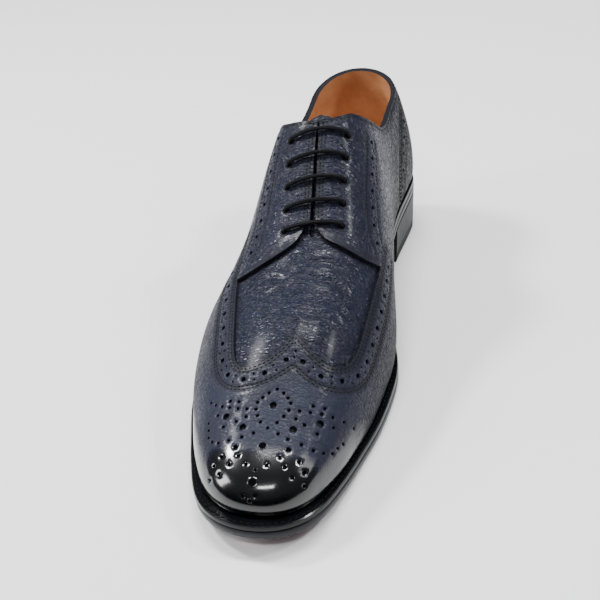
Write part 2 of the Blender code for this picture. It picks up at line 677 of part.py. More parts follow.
def lace_route():
    """Places (side, distance from the back, reach from the ridge, height above the last) along the lace."""
    bend = LACE_BEND
    mid = bend * (1 - math.sqrt(0.5))
    reach = EYELET_REACH
    route = []
    for k in range(EYELETS):
        near = -1 if k % 2 == 0 else 1
        centre = EYELET_TOP + k * EYELET_PITCH
        s = {side: eyelet_distance(k, side) for side in (1, -1)}
        if k == 0:
            route.append((near, s[near], reach, LACE_UNDER))
        half = {side: (s[side] + centre) / 2 for side in (1, -1)}
        over = ((0.0, LACE_OVER - bend), (mid, LACE_OVER - mid), (bend, LACE_OVER))
        route += [(near, s[near], reach - inward, height) for inward, height in over]
        route += [(near, half[near], reach / 2, LACE_OVER), (near, centre, 0.0, LACE_OVER),
                  (-near, half[-near], reach / 2, LACE_OVER)]
        route += [(-near, s[-near], reach - inward, height) for inward, height in over[::-1]]
        if k < EYELETS - 1:
            here, there = s[-near], s[-near] + EYELET_PITCH
            under = ((0.0, LACE_UNDER + bend), (mid, LACE_UNDER + mid), (bend, LACE_UNDER))
            route += [(-near, here + forward, reach, height) for forward, height in under]
            route += [(-near, there - forward, reach, height) for forward, height in under[::-1]]
    # the last end runs back up under the medial facing and stops beside the top eyelet
    s, outer = eyelet_distance(EYELETS - 1, 1), reach + LACE_SPACING
    route += [(1, s, reach, LACE_UNDER + bend), (1, s, reach + mid, LACE_UNDER + mid),
              (1, s - mid, outer - mid, LACE_UNDER), (1, s - 2 * bend, outer, LACE_UNDER)]
    route += [(1, eyelet_distance(k, 1), outer, LACE_UNDER) for k in range(EYELETS - 2, -1, -1)]
    return route


def placed(side, distance, reach, height):
    """A world point over the instep, by its distance from the back, reach from the ridge and height."""
    share = np.array([share_at(distance)])
    v = v_at_reach(side, share, reach) if reach > 0 else np.array([1.0])
    return on_last(side, station_of(share), v, np.array([height]))[0]


def make_laces(cord):
    points = [placed(*place) for place in lace_route()]
    curve = bpy.data.curves.new("laces", "CURVE")
    curve.dimensions = "3D"
    curve.bevel_depth = LACE_RADIUS
    curve.bevel_resolution = 2
    curve.use_fill_caps = True
    spline = curve.splines.new("POLY")
    spline.points.add(len(points) - 1)
    for target, point in zip(spline.points, points):
        target.co = (*point, 1.0)
    curve.materials.append(cord)
    made = bpy.data.objects.new("laces", curve)
    bpy.context.collection.objects.link(made)
    return made


def make_eyelet_punch(material_used):
    """The cutter for the lace holes: one short cylinder for each, square to the upper."""
    sides = 12
    radius = LACE_RADIUS + HOLE_CLEARANCE
    vertices, faces = [], []
    for side in (1, -1):
        for k in range(EYELETS):
            low = Vector(placed(side, eyelet_distance(k, side), EYELET_REACH, -UPPER_WALL - 0.001))
            high = Vector(placed(side, eyelet_distance(k, side), EYELET_REACH, PANEL_LIFT + PANEL + 0.001))
            axis = (high - low).normalized()
            across = axis.orthogonal().normalized()
            other = axis.cross(across)
            first = len(vertices)
            for centre in (low, high):
                for corner in range(sides):
                    turn = 2 * math.pi * corner / sides
                    vertices.append(centre + radius * (math.cos(turn) * across + math.sin(turn) * other))
            faces.append(tuple(first + corner for corner in range(sides))[::-1])
            faces.append(tuple(first + sides + corner for corner in range(sides)))
            for corner in range(sides):
                following = (corner + 1) % sides
                faces.append((first + corner, first + following,
                              first + sides + following, first + sides + corner))
    punch = new_object("eyelet_punch", vertices, faces, material_used)
    punch.hide_render = True
    punch.display_type = "WIRE"
    return punch


def punch_holes(made, punch):
    cut = made.modifiers.new("lace_holes", "BOOLEAN")
    cut.operation = "DIFFERENCE"
    cut.solver = "EXACT"
    cut.object = punch


# The sole

OUTLINE_ROWS = 36
BREAST_ROWS = 8

# Rounded edges from the bottom up: how far each loop is drawn in, and its height above the piece's underside
OUTSOLE_EDGE = dict(inset=(0.0011, 0.0002, 0.0, 0.0006), height=(0.0, 0.0009, OUTSOLE - 0.0007, OUTSOLE))
WELT_EDGE = dict(inset=(0.0, 0.0, 0.0007), height=(0.0, WELT - 0.0008, WELT))
TOP_PIECE_EDGE = dict(inset=(HEEL_TAPER + 0.0005, HEEL_TAPER, HEEL_TAPER * 0.8), height=(0.0, 0.0005, TOP_PIECE))
HEEL_STACK_FLARE = 0.003


def sole_outline(margin_share, inset, from_u=0.0, to_u=1.0):
    """Plan points round the sole, medial side from back to front and then the lateral side back again."""
    rows = np.linspace(0, 1, OUTLINE_ROWS + 1)
    u = from_u + (to_u - from_u) * rows
    loops = []
    for side, margin in ((1, margin_medial), (-1, margin_lateral)):
        small = 1e-4

        def edge(u):
            place = last_point(side, np.clip(u, 0, 1), 0.0)
            return place[..., :2]
        tangent = edge(u + small) - edge(u - small)
        tangent /= np.linalg.norm(tangent, axis=-1, keepdims=True)
        out = np.stack([tangent[:, 1], -tangent[:, 0]], -1) * side
        out[u < small] = (0.0, -1.0)
        out[u > 1 - small] = (0.0, 1.0)
        share, _ = station(u)
        grow = margin(share) * margin_share - inset
        loops.append(edge(u) + out * grow[:, None])
    start = 1 if from_u == 0.0 else 0
    stop = -1 if to_u == 1.0 else None
    return np.vstack([loops[0], loops[1][start:stop][::-1]])


def raised(outline, height):
    """World points over a plan outline, at a height that is a function of the distance from the back."""
    s = outline[:, 1]
    return np.stack([outline[:, 0], SOLE_LENGTH / 2 - s, height(s)], -1)


def make_stack(name, levels, finish, ring=False):
    """A solid through closed loops of points, bottom first: capped at both ends, or closed on itself."""
    count = len(levels[0])
    faces = []
    pairs = len(levels) if ring else len(levels) - 1
    for level in range(pairs):
        low, high = level * count, (level + 1) % len(levels) * count
        for k in range(count):
            after = (k + 1) % count
            faces.append((low + k, low + after, high + after, high + k))
    if not ring:
        points = [Vector(p[:2]) for p in levels[0]]
        edges = [(k, (k + 1) % count) for k in range(count)]
        cap = delaunay_2d_cdt(points, edges, [], 1, 1e-9)[2]
        top = (len(levels) - 1) * count
        faces += [tuple(t) for t in cap] + [tuple(top + k for k in t)[::-1] for t in cap]
    return new_object(name, np.vstack(levels), faces, finish)


def over_sole(extra):
    return lambda s: sole_height(s) + extra


def make_outsole(leather):
    levels = [raised(sole_outline(1, inset), over_sole(height)) for inset, height in zip(*OUTSOLE_EDGE.values())]
    return make_stack("outsole", levels, leather)


def insole_inset():
    return UPPER_WALL + 4 * FIT_GAP


def make_welt(leather):
    base = OUTSOLE + FIT_GAP
    inner = sole_outline(0, insole_inset() - FIT_GAP)
    levels = [raised(sole_outline(1, inset), over_sole(base + height)) for inset, height in zip(*WELT_EDGE.values())]
    levels += [raised(inner, over_sole(base + WELT)), raised(inner, over_sole(base))]
    return make_stack("welt", levels, leather, ring=True)


def make_insole(leather):
    base = OUTSOLE + FIT_GAP
    outline = sole_outline(0, insole_inset())
    levels = [raised(outline, over_sole(base)), raised(outline, over_sole(base + INSOLE))]
    return make_stack("insole", levels, leather)


def heel_outline(inset):
    """The heel in plan: the sole's outline behind the breast, and the hollow breast between its corners."""
    breast = float(station_of(share_at(HEEL_LENGTH)))
    outline = sole_outline(1, inset, 0.0, breast)
    medial_end, lateral_end = outline[OUTLINE_ROWS], outline[OUTLINE_ROWS + 1]
    way = np.linspace(0, 1, BREAST_ROWS)[1:-1, None]
    across = medial_end + (lateral_end - medial_end) * way
    across[:, 1] -= BREAST_HOLLOW * 4 * way[:, 0] * (1 - way[:, 0])
    return np.vstack([outline[:OUTLINE_ROWS + 1:2], across, outline[OUTLINE_ROWS + 1::2]])


def make_heel(stacked, rubber):
    parts = []

    def level(inset, height):
        return raised(heel_outline(inset), height)

    def flat(height):
        return lambda s: np.full_like(s, height)
    parts.append(make_stack("heel_top_piece", [
        level(inset, flat(height)) for inset, height in zip(*TOP_PIECE_EDGE.values())], rubber))
    parts.append(make_stack("heel_stack", [
        level(HEEL_TAPER * 0.8, flat(TOP_PIECE + FIT_GAP)),
        level(HEEL_TAPER * 0.2, over_sole(-FIT_GAP - HEEL_STACK_FLARE)),
        level(0.0, over_sole(-FIT_GAP))], stacked))
    return parts


def clear_scene():
    for old in list(bpy.data.objects):
        bpy.data.objects.remove(old, do_unlink=True)


def stand_on_origin(objects):
    """Hang every piece on an empty that puts the middle of the shoe over the origin."""
    corners = [Vector(point.co) for made in objects if made.type == "MESH" for point in made.data.vertices]
    low = [min(point[axis] for point in corners) for axis in range(3)]
    high = [max(point[axis] for point in corners) for axis in range(3)]
    shoe = bpy.data.objects.new("shoe", None)
    shoe.location = (-(low[0] + high[0]) / 2, -(low[1] + high[1]) / 2, 0.0)
    bpy.context.collection.objects.link(shoe)
    for made in objects:
        made.parent = shoe


def main():
    clear_scene()
    grained = material("grained_leather", (0.020, 0.026, 0.055), 0.45)
    cap = material("burnished_leather", (0.014, 0.017, 0.036), 0.25)
    lining = material("tan_lining", (0.36, 0.15, 0.05), 0.55)
    edge = material("black_sole_edge", (0.006, 0.006, 0.007), 0.30)
    sole = material("sole_leather", (0.030, 0.012, 0.014), 0.40)
    stacked = material("heel_lifts", (0.020, 0.021, 0.024), 0.35)
    rubber = material("heel_rubber", (0.010, 0.010, 0.010), 0.60)
    cord = material("waxed_lace", (0.007, 0.007, 0.010), 0.45)
    punch = make_eyelet_punch(cord)
    upper = make_upper(grained)
    medial = make_quarter("quarter_medial", 1, grained)
    lateral = make_quarter("quarter_lateral", -1, grained)
    for made in (upper, medial, lateral):
        punch_holes(made, punch)
    objects = [punch, upper, medial, lateral, make_wing_cap(cap), make_counter(grained),
               make_tongue(grained), make_laces(cord), make_insole(lining), make_welt(edge),
               make_outsole(sole), *make_heel(stacked, rubber)]
    stand_on_origin(objects)


main()
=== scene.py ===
# A wingtip derby for the right foot: grained navy leather, a burnished toe, black waxed laces.
# The same last as in the source carries every piece: a place on it is (side, u, v), side +1 medial
# or -1 lateral, u from the back of the heel to the tip of the toe, v from the feather line to the ridge.

import math

import bmesh
import bpy
import numpy as np
from mathutils import Matrix, Vector
from mathutils.geometry import delaunay_2d_cdt
from mathutils.kdtree import KDTree


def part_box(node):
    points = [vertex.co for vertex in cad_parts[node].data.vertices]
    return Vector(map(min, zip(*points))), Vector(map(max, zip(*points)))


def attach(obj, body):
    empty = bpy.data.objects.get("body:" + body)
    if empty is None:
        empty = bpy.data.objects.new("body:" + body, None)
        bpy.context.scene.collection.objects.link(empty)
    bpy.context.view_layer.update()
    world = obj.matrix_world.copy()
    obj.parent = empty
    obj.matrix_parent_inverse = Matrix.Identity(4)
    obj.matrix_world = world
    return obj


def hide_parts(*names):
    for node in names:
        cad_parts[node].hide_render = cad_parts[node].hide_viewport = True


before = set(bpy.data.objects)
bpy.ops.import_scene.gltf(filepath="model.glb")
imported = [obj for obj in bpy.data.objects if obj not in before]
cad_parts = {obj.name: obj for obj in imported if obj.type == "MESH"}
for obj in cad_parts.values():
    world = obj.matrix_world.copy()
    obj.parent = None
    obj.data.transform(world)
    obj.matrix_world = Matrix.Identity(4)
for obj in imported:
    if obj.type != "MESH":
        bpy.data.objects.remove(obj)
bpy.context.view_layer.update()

# Driving sizes of the last and the sole
SOLE_LENGTH = 0.303
BALL_WIDTH = 0.0885
SEAT_WIDTH = 0.061
INSTEP_RISE = 0.085
TOE_BOX_RISE = 0.0255
HEEL_HEIGHT = 0.0275
TOE_SPRING = 0.0086
HEEL_LENGTH = 0.073
HEEL_TAPER = 0.0015
BREAST_HOLLOW = 0.004
TOP_PIECE = 0.006
OUTSOLE = 0.005
WELT = 0.003
SEAT_MARGIN = 0.0025
WAIST_MARGIN = 0.0010
BALL_MARGIN = 0.0047
TOE_MARGIN = 0.0079

# The upper, the panels on it and what fastens it
UPPER_WALL = 0.0016
PANEL = 0.0012
PANEL_LIFT = 0.0006
FIT_GAP = 0.0003
BACK_RISE = 0.062
ANKLE_RISE = 0.042
ANKLE_TILT = 0.0015
FACING_TOP = 0.1055
FACING_CORNER = 0.0985
CORNER_SLANT = 0.005
THROAT = 0.159
THROAT_GAP = 0.0028
TONGUE = 0.002
TONGUE_PROUD = 0.0055
TONGUE_HALF_WIDTH = 0.0245
TONGUE_TUCK = 0.010
EYELETS = 5
EYELET_TOP = 0.1102
EYELET_PITCH = 0.0110
EYELET_REACH = 0.0145
EYELET_SLANT = 0.0035
LACE_DIAMETER = 0.0022
LACE_BEND = 0.0018
LACE_LIFT = 0.0006
LACE_SPACING = 0.0032

# The line under the sole: share of the sole's length, shares of the heel height and of the toe spring, slope
SOLE_LINE = dict(
    share=(0.00, 0.24, 0.635, 0.745, 1.00),
    heel=(1.00, 0.86, 0.00, 0.00, 0.00),
    spring=(0.00, 0.00, 0.00, 0.00, 1.00),
    slope=(-0.03, -0.10, 0.00, 0.00, 0.20),
)

# The feather line in plan: share of its length, centre and half widths as shares of the ball and seat widths
PLAN = dict(
    share=(0.00, 0.10, 0.22, 0.36, 0.48, 0.60, 0.68, 0.76, 0.84, 0.92, 1.00),
    centre=(0.000, 0.002, -0.012, -0.042, -0.055, -0.070, -0.066, -0.055, -0.040, -0.022, 0.000),
    seat=(0.500, 0.505, 0.475, 0.400, 0.220, 0.050, 0.000, 0.000, 0.000, 0.000, 0.000),
    ball=(0.000, 0.000, 0.000, 0.096, 0.294, 0.508, 0.532, 0.494, 0.427, 0.370, 0.370),
)

# The sole's margin beyond the feather line: share of its length, medial and lateral
# shares of the named margins
MARGIN = dict(
    share=(0.00, 0.20, 0.33, 0.50, 0.62, 0.75, 0.88, 1.00),
    seat=(1.0, 0.9, 0.0, 0.0, 0.0, 0.0, 0.0, 0.0),
    waist_medial=(0.0, 0.0, 1.0, 1.0, 0.0, 0.0, 0.0, 0.0),
    waist_lateral=(0.0, 0.2, 2.4, 2.8, 0.0, 0.0, 0.0, 0.0),
    ball=(0.00, 0.00, 0.00, 0.00, 0.93, 1.02, 0.95, 0.00),
    toe=(0.0, 0.0, 0.0, 0.0, 0.0, 0.0, 0.0, 1.0),
)

# The ridge: share of the length, centre as a share of the ball width, slope across it up toward the
# medial side, shares of the instep and toe box rises
RIDGE = dict(
    share=(0.090, 0.170, 0.260, 0.360, 0.530, 0.730, 0.885),
    centre=(-0.040, -0.040, -0.040, -0.040, 0.010, 0.040, 0.015),
    tilt=(0.00, 0.00, 0.06, 0.11, 0.10, 0.05, 0.00),
    instep=(1.17, 1.17, 1.12, 0.98, 0.72, 0.535, 0.00),
    toe=(0.0, 0.0, 0.0, 0.0, 0.0, 0.0, 1.0),
)

# Each rib's shape: share of the length, where its wall ends and how far that leans out as shares of its
# height, and how far the crown runs out as a share of its reach
SECTION = dict(
    share=(0.00, 0.12, 0.25, 0.40, 0.55, 0.70, 0.85, 1.00),
    rise=(0.38, 0.40, 0.42, 0.43, 0.48, 0.52, 0.62, 0.72),
    lean_medial=(0.08, 0.05, 0.03, 0.15, 0.14, 0.07, 0.04, 0.04),
    lean_lateral=(0.08, 0.05, 0.06, 0.12, 0.11, 0.12, 0.065, 0.04),
    crown_medial=(0.70, 0.26, 0.54, 0.72, 0.70, 0.63, 0.51, 0.45),
    crown_lateral=(0.70, 0.36, 0.90, 0.88, 0.71, 0.63, 0.51, 0.45),
)

# The topline from the back to the corner of the facing: share of the way, shares of the back and ankle rises
# above the feather line and of the corner's height there
TOPLINE = dict(
    share=(0.00, 0.20, 0.45, 0.70, 0.88, 1.00),
    back=(1.00, 0.91, 0.30, 0.00, 0.00, 0.00),
    ankle=(0.00, 0.03, 0.83, 1.31, 1.65, 1.91),
)

# Panel edges on the upper: share of the length, and girth from the ridge (0) to the feather line (1), on
# each side. The wing's edge runs from its peak on the ridge to the wing's end, the quarter's from the
# throat to the wing.
WING_EDGE = {
    1: dict(share=(0.729, 0.748, 0.764, 0.770, 0.756, 0.728, 0.685, 0.635, 0.580, 0.530, 0.470),
            girth=(0.000, 0.100, 0.220, 0.330, 0.440, 0.500, 0.500, 0.485, 0.490, 0.525, 0.580)),
    -1: dict(share=(0.729, 0.758, 0.782, 0.791, 0.786, 0.762, 0.715, 0.645, 0.595, 0.555, 0.470),
             girth=(0.000, 0.040, 0.120, 0.220, 0.290, 0.330, 0.345, 0.370, 0.400, 0.434, 0.500)),
}
QUARTER_EDGE = {
    1: dict(share=(0.523, 0.540, 0.547, 0.550, 0.546, 0.528, 0.505),
            girth=(0.035, 0.080, 0.155, 0.260, 0.390, 0.525, 0.620)),
    -1: dict(share=(0.523, 0.542, 0.557, 0.570, 0.581, 0.589, 0.590),
             girth=(0.035, 0.060, 0.105, 0.170, 0.245, 0.340, 0.450)),
}
COUNTER_EDGE = dict(
    share=(0.035, 0.080, 0.130, 0.175, 0.200, 0.210),
    height=(1.00, 0.86, 0.66, 0.42, 0.20, 0.00),
)

# How the last's ends close in plan, and where its ribs fan out from the ridge, as shares of the length
HEEL_ROUND = 0.105
TOE_ROUND = 0.155
TOE_SQUARENESS = 2.18
HEEL_TURN = 0.16
TOE_TURN = 0.84
FAN_BACK = 0.24
FAN_FRONT = 0.72

# Where the sole's margin begins, and the feather line's length
FEATHER_BACK = SEAT_MARGIN + FIT_GAP
FEATHER_LENGTH = SOLE_LENGTH - FEATHER_BACK - TOE_MARGIN


# Curves through a table's rows

def curve_with_slopes(xs, ys, slopes):
    xs, ys, slopes = (np.asarray(values, float) for values in (xs, ys, slopes))

    def at(x):
        x = np.asarray(x, float)
        k = np.clip(np.searchsorted(xs, x, side="right") - 1, 0, len(xs) - 2)
        step = xs[k + 1] - xs[k]
        q = (x - xs[k]) / step
        h = np.clip(q, 0.0, 1.0)
        value = ((2 * h**3 - 3 * h**2 + 1) * ys[k] + (h**3 - 2 * h**2 + h) * step * slopes[k]
                 + (3 * h**2 - 2 * h**3) * ys[k + 1] + (h**3 - h**2) * step * slopes[k + 1])
        return value + (q - h) * step * np.where(q > 1.0, slopes[k + 1], slopes[k])
    return at


def smooth_curve(xs, ys):
    xs, ys = np.asarray(xs, float), np.asarray(ys, float)
    count = len(xs)
    steps = np.diff(xs)
    rises = np.diff(ys) / steps
    matrix = np.zeros((count, count))
    right = np.zeros(count)
    matrix[0, :2] = 2, 1
    matrix[-1, -2:] = 1, 2
    right[0], right[-1] = 3 * rises[0], 3 * rises[-1]
    for k in range(1, count - 1):
        matrix[k, k - 1:k + 2] = steps[k], 2 * (steps[k - 1] + steps[k]), steps[k - 1]
        right[k] = 3 * (steps[k] * rises[k - 1] + steps[k - 1] * rises[k])
    return curve_with_slopes(xs, ys, np.linalg.solve(matrix, right))


def column(table, *parts):
    """A smooth curve over the table's shares: the sum of its named columns, each times a size."""
    total = sum(np.array(table[name]) * size for name, size in parts)
    return smooth_curve(table["share"], total)


sole_height = curve_with_slopes(
    np.array(SOLE_LINE["share"]) * SOLE_LENGTH,
    np.array(SOLE_LINE["heel"]) * HEEL_HEIGHT + np.array(SOLE_LINE["spring"]) * TOE_SPRING,
    SOLE_LINE["slope"])
plan_centre = column(PLAN, ("centre", BALL_WIDTH))
plan_half = column(PLAN, ("seat", SEAT_WIDTH), ("ball", BALL_WIDTH))
margins = ("seat", SEAT_MARGIN), ("ball", BALL_MARGIN), ("toe", TOE_MARGIN)
margin_medial = column(MARGIN, ("waist_medial", WAIST_MARGIN), *margins)
margin_lateral = column(MARGIN, ("waist_lateral", WAIST_MARGIN), *margins)
ridge_centre = column(RIDGE, ("centre", BALL_WIDTH))
ridge_tilt = column(RIDGE, ("tilt", 1.0))
ridge_rise = column(RIDGE, ("instep", INSTEP_RISE), ("toe", TOE_BOX_RISE))
rib_rise = column(SECTION, ("rise", 1.0))
rib_lean = {1: column(SECTION, ("lean_medial", 1.0)), -1: column(SECTION, ("lean_lateral", 1.0))}
rib_crown = {1: column(SECTION, ("crown_medial", 1.0)), -1: column(SECTION, ("crown_lateral", 1.0))}
topline_rise = column(TOPLINE, ("back", BACK_RISE), ("ankle", ANKLE_RISE))


# The last

def along(share):
    """Distance from the back of the sole to a share of the feather line's length."""
    return FEATHER_BACK + share * FEATHER_LENGTH


def share_at(distance):
    return (distance - FEATHER_BACK) / FEATHER_LENGTH


def feather_height(s):
    return sole_height(s) + OUTSOLE + WELT + 2 * FIT_GAP


def station(u):
    """Share of the length at u, and how far the outline has closed there: 1 open, 0 shut."""
    back = np.clip(1 - u / HEEL_TURN, 0, 1) * math.pi / 2
    front = np.clip((u - TOE_TURN) / (1 - TOE_TURN), 0, 1) * math.pi / 2
    power = 2 / TOE_SQUARENESS
    middle = np.clip((u - HEEL_TURN) / (TOE_TURN - HEEL_TURN), 0, 1)
    share = HEEL_ROUND + (1 - TOE_ROUND - HEEL_ROUND) * middle
    share = np.where(u < HEEL_TURN, HEEL_ROUND * (1 - np.sin(back)), share)
    share = np.where(u > TOE_TURN, 1 - TOE_ROUND + TOE_ROUND * np.sin(front)**power, share)
    return share, np.cos(back) * np.maximum(np.cos(front), 0.0)**power


def station_of(share):
    """The u at a share of the length."""
    share = np.asarray(share, float)
    middle = (share - HEEL_ROUND) / (1 - TOE_ROUND - HEEL_ROUND)
    u = HEEL_TURN + (TOE_TURN - HEEL_TURN) * middle
    back = np.arcsin(np.clip(1 - share / HEEL_ROUND, 0, 1)) / (math.pi / 2)
    front = np.clip((share - 1 + TOE_ROUND) / TOE_ROUND, 0, 1)**(TOE_SQUARENESS / 2)
    u = np.where(share < HEEL_ROUND, HEEL_TURN * (1 - back), u)
    return np.where(share > 1 - TOE_ROUND, TOE_TURN + (1 - TOE_TURN) * np.arcsin(front) / (math.pi / 2), u)


def ridge_share(share):
    """Where on the ridge a rib ends: straight across the foot, fanned out at heel and toe."""
    first, last = RIDGE["share"][0], RIDGE["share"][-1]
    back = np.clip((FAN_BACK - share) / FAN_BACK, 0, 1)
    front = np.clip((share - FAN_FRONT) / (1 - FAN_FRONT), 0, 1)
    back_end = FAN_BACK * (1 - back) + first * back * back
    front_end = FAN_FRONT + (1 - FAN_FRONT) * front * (1 - front) + (last - FAN_FRONT) * front * front
    return np.where(share < FAN_BACK, back_end, np.where(share > FAN_FRONT, front_end, share))


def ridge_height(share):
    return feather_height(along(share)) + ridge_rise(share)


def last_point(side, u, v):
    """The point (x, distance from the back, z) on the last."""
    side, u, v = np.broadcast_arrays(*(np.asarray(value, float) for value in (side, u, v)))
    share, closing = station(u)
    foot = np.stack([plan_centre(share) + side * plan_half(share) * closing,
                     along(share), feather_height(along(share))], -1)
    end = ridge_share(share)
    small = 1e-4
    slope = (ridge_height(end + small) - ridge_height(end - small)) / (2 * small * FEATHER_LENGTH)
    top = np.stack([ridge_centre(end), along(end), ridge_height(end)], -1)
    gap = top - foot
    reach = np.hypot(gap[..., 0], gap[..., 1])
    inward = gap[..., :2] / reach[..., None]
    height = gap[..., 2]
    lean = np.where(side > 0, rib_lean[1](share), rib_lean[-1](share)) * height
    wall_end = foot + np.stack([-inward[..., 0] * lean, -inward[..., 1] * lean, rib_rise(share) * height], -1)
    climb = inward[..., 1] * slope + inward[..., 0] * ridge_tilt(end)
    direction = np.stack([inward[..., 0], inward[..., 1], climb], -1)
    crown = np.where(side > 0, rib_crown[1](share), rib_crown[-1](share)) * reach
    crown_start = top - crown[..., None] * direction
    v = v[..., None]
    return ((1 - v)**3 * foot + 3 * (1 - v)**2 * v * wall_end
            + 3 * (1 - v) * v * v * crown_start + v**3 * top)


def wrapped(side, u, v):
    """The point at a place that may lie past the heel, the toe or the ridge, on the other side."""
    crossed = (u < 0) | (u > 1)
    side = np.where(crossed, -side, side)
    u = np.where(u < 0, -u, np.where(u > 1, 2 - u, u))
    side = np.where(v > 1, -side, side)
    return last_point(side, u, np.where(v > 1, 2 - v, v))


def last_normal(side, u, v):
    """The direction straight out of the last."""
    small = 1e-4

    def cross(v):
        by_u = wrapped(side, u + small, v) - wrapped(side, u - small, v)
        by_v = wrapped(side, u, v + small) - wrapped(side, u, v - small)
        return np.cross(by_u, by_v) * np.asarray(side, float)[..., None]
    normal = cross(v)
    size = np.linalg.norm(normal, axis=-1, keepdims=True)
    inner = cross(np.minimum(v, 0.97))
    normal = np.where(size > 1e-12, normal, inner)
    return normal / np.linalg.norm(normal, axis=-1, keepdims=True)


def on_last(side, u, v, offset=0.0):
    """World points at an offset out of the last: x, y and z with the toe toward -Y."""
    side, u, v = np.broadcast_arrays(*(np.asarray(value, float) for value in (side, u, v)))
    point = last_point(side, u, v)
    if np.any(offset):
        point = point + last_normal(side, u, v) * np.asarray(offset, float)[..., None]
    return np.stack([point[..., 0], SOLE_LENGTH / 2 - point[..., 1], point[..., 2]], -1)


def solved_v(measure, count):
    """The v in 0..1, for each of count places, where a measure that grows with v crosses zero."""
    low, high = np.zeros(count), np.ones(count)
    for _ in range(40):
        middle = (low + high) / 2
        above = measure(middle) > 0
        high = np.where(above, middle, high)
        low = np.where(above, low, middle)
    return (low + high) / 2


def v_at_reach(side, share, reach):
    """The v on a rib across the foot at a level distance from the ridge."""
    u = station_of(share)

    def nearness(v):
        return reach - np.abs(last_point(side, u, v)[..., 0] - ridge_centre(ridge_share(share)))
    return solved_v(nearness, np.shape(share))


# The edge of the collar and of the throat, from the back of the heel to the throat's end

REAR_ROWS, FACING_ROWS, THROAT_ROWS = 12, 5, 7


def collar_edge(side):
    """Places (u, v) along one side's edge: the topline, the top of the facing, then down the throat."""
    corner = share_at(FACING_CORNER - side * CORNER_SLANT / 2)
    share = corner * np.linspace(0, 1, REAR_ROWS + 1)**1.3
    u = station_of(share)

    def above_topline(v):
        point = last_point(side, u, v)
        near = share / corner
        way = share_at(point[..., 1]) * ((1 - near) / share_at(FACING_CORNER) + near / corner)
        rise = topline_rise(way) + side * ANKLE_TILT * near
        return point[..., 2] - feather_height(point[..., 1]) - rise
    v = solved_v(above_topline, len(u))
    top = station_of(share_at(FACING_TOP))
    throat = np.linspace(share_at(FACING_TOP), share_at(THROAT), THROAT_ROWS + 1)
    way = np.linspace(0, 1, THROAT_ROWS + 1)
    half_gap = THROAT_GAP / 2 * (0.45 + 0.55 * way)
    throat_v = v_at_reach(side, throat, half_gap)
    facing = np.linspace(0, 1, FACING_ROWS + 1)[1:-1]
    facing_u = u[-1] + (top - u[-1]) * np.sin(facing * math.pi / 2)
    facing_v = v[-1] + (throat_v[0] - v[-1]) * facing
    return np.concatenate([u, facing_u, station_of(throat)]), np.concatenate([v, facing_v, throat_v])


# Where the shoe stands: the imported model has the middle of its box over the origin

def sole_outline(margin_share, inset, rows, from_u=0.0, to_u=1.0):
    """Plan points round the sole, medial side from back to front and then the lateral side back again."""
    u = from_u + (to_u - from_u) * np.linspace(0, 1, rows + 1)
    loops = []
    small = 1e-4
    for side, margin in ((1, margin_medial), (-1, margin_lateral)):
        edge = last_point(side, np.clip(u, 0, 1), 0.0)[:, :2]
        ahead = last_point(side, np.clip(u + small, 0, 1), 0.0)[:, :2]
        behind = last_point(side, np.clip(u - small, 0, 1), 0.0)[:, :2]
        tangent = ahead - behind
        tangent /= np.linalg.norm(tangent, axis=-1, keepdims=True)
        out = np.stack([tangent[:, 1], -tangent[:, 0]], -1) * side
        out[u < small] = (0.0, -1.0)
        out[u > 1 - small] = (0.0, 1.0)
        grow = margin(station(u)[0]) * margin_share - inset
        loops.append(edge + out * grow[:, None])
    start = 1 if from_u == 0.0 else 0
    stop = -1 if to_u == 1.0 else None
    return np.vstack([loops[0], loops[1][start:stop][::-1]])


edge_of_sole = sole_outline(1, 0.0, 36)
outsole_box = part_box("outsole")
left, back = edge_of_sole.min(0)
right, front = edge_of_sole.max(0)
stand = np.array([(outsole_box[0][0] + outsole_box[1][0] - left - right) / 2,
                  (outsole_box[0][1] + outsole_box[1][1]) / 2 - SOLE_LENGTH / 2 + (back + front) / 2, 0.0])


def standing(side, u, v, offset=0.0):
    """Points on the standing shoe at an offset out of the last."""
    return on_last(side, u, v, offset) + stand


def forward_of(points):
    """How far points of the standing shoe lie from the back of the sole."""
    return SOLE_LENGTH / 2 - (points[:, 1] - stand[1])


# Shader node groups: each puts out masks and heights that several leathers use

def socketed_group(name, inputs, outputs):
    group = bpy.data.node_groups.new(name, "ShaderNodeTree")
    group.interface.new_socket("Vector", in_out="INPUT", socket_type="NodeSocketVector")
    for label in inputs:
        group.interface.new_socket(label, in_out="INPUT", socket_type="NodeSocketFloat")
    for label in outputs:
        group.interface.new_socket(label, in_out="OUTPUT", socket_type="NodeSocketFloat")
    return group, Nodes(group)


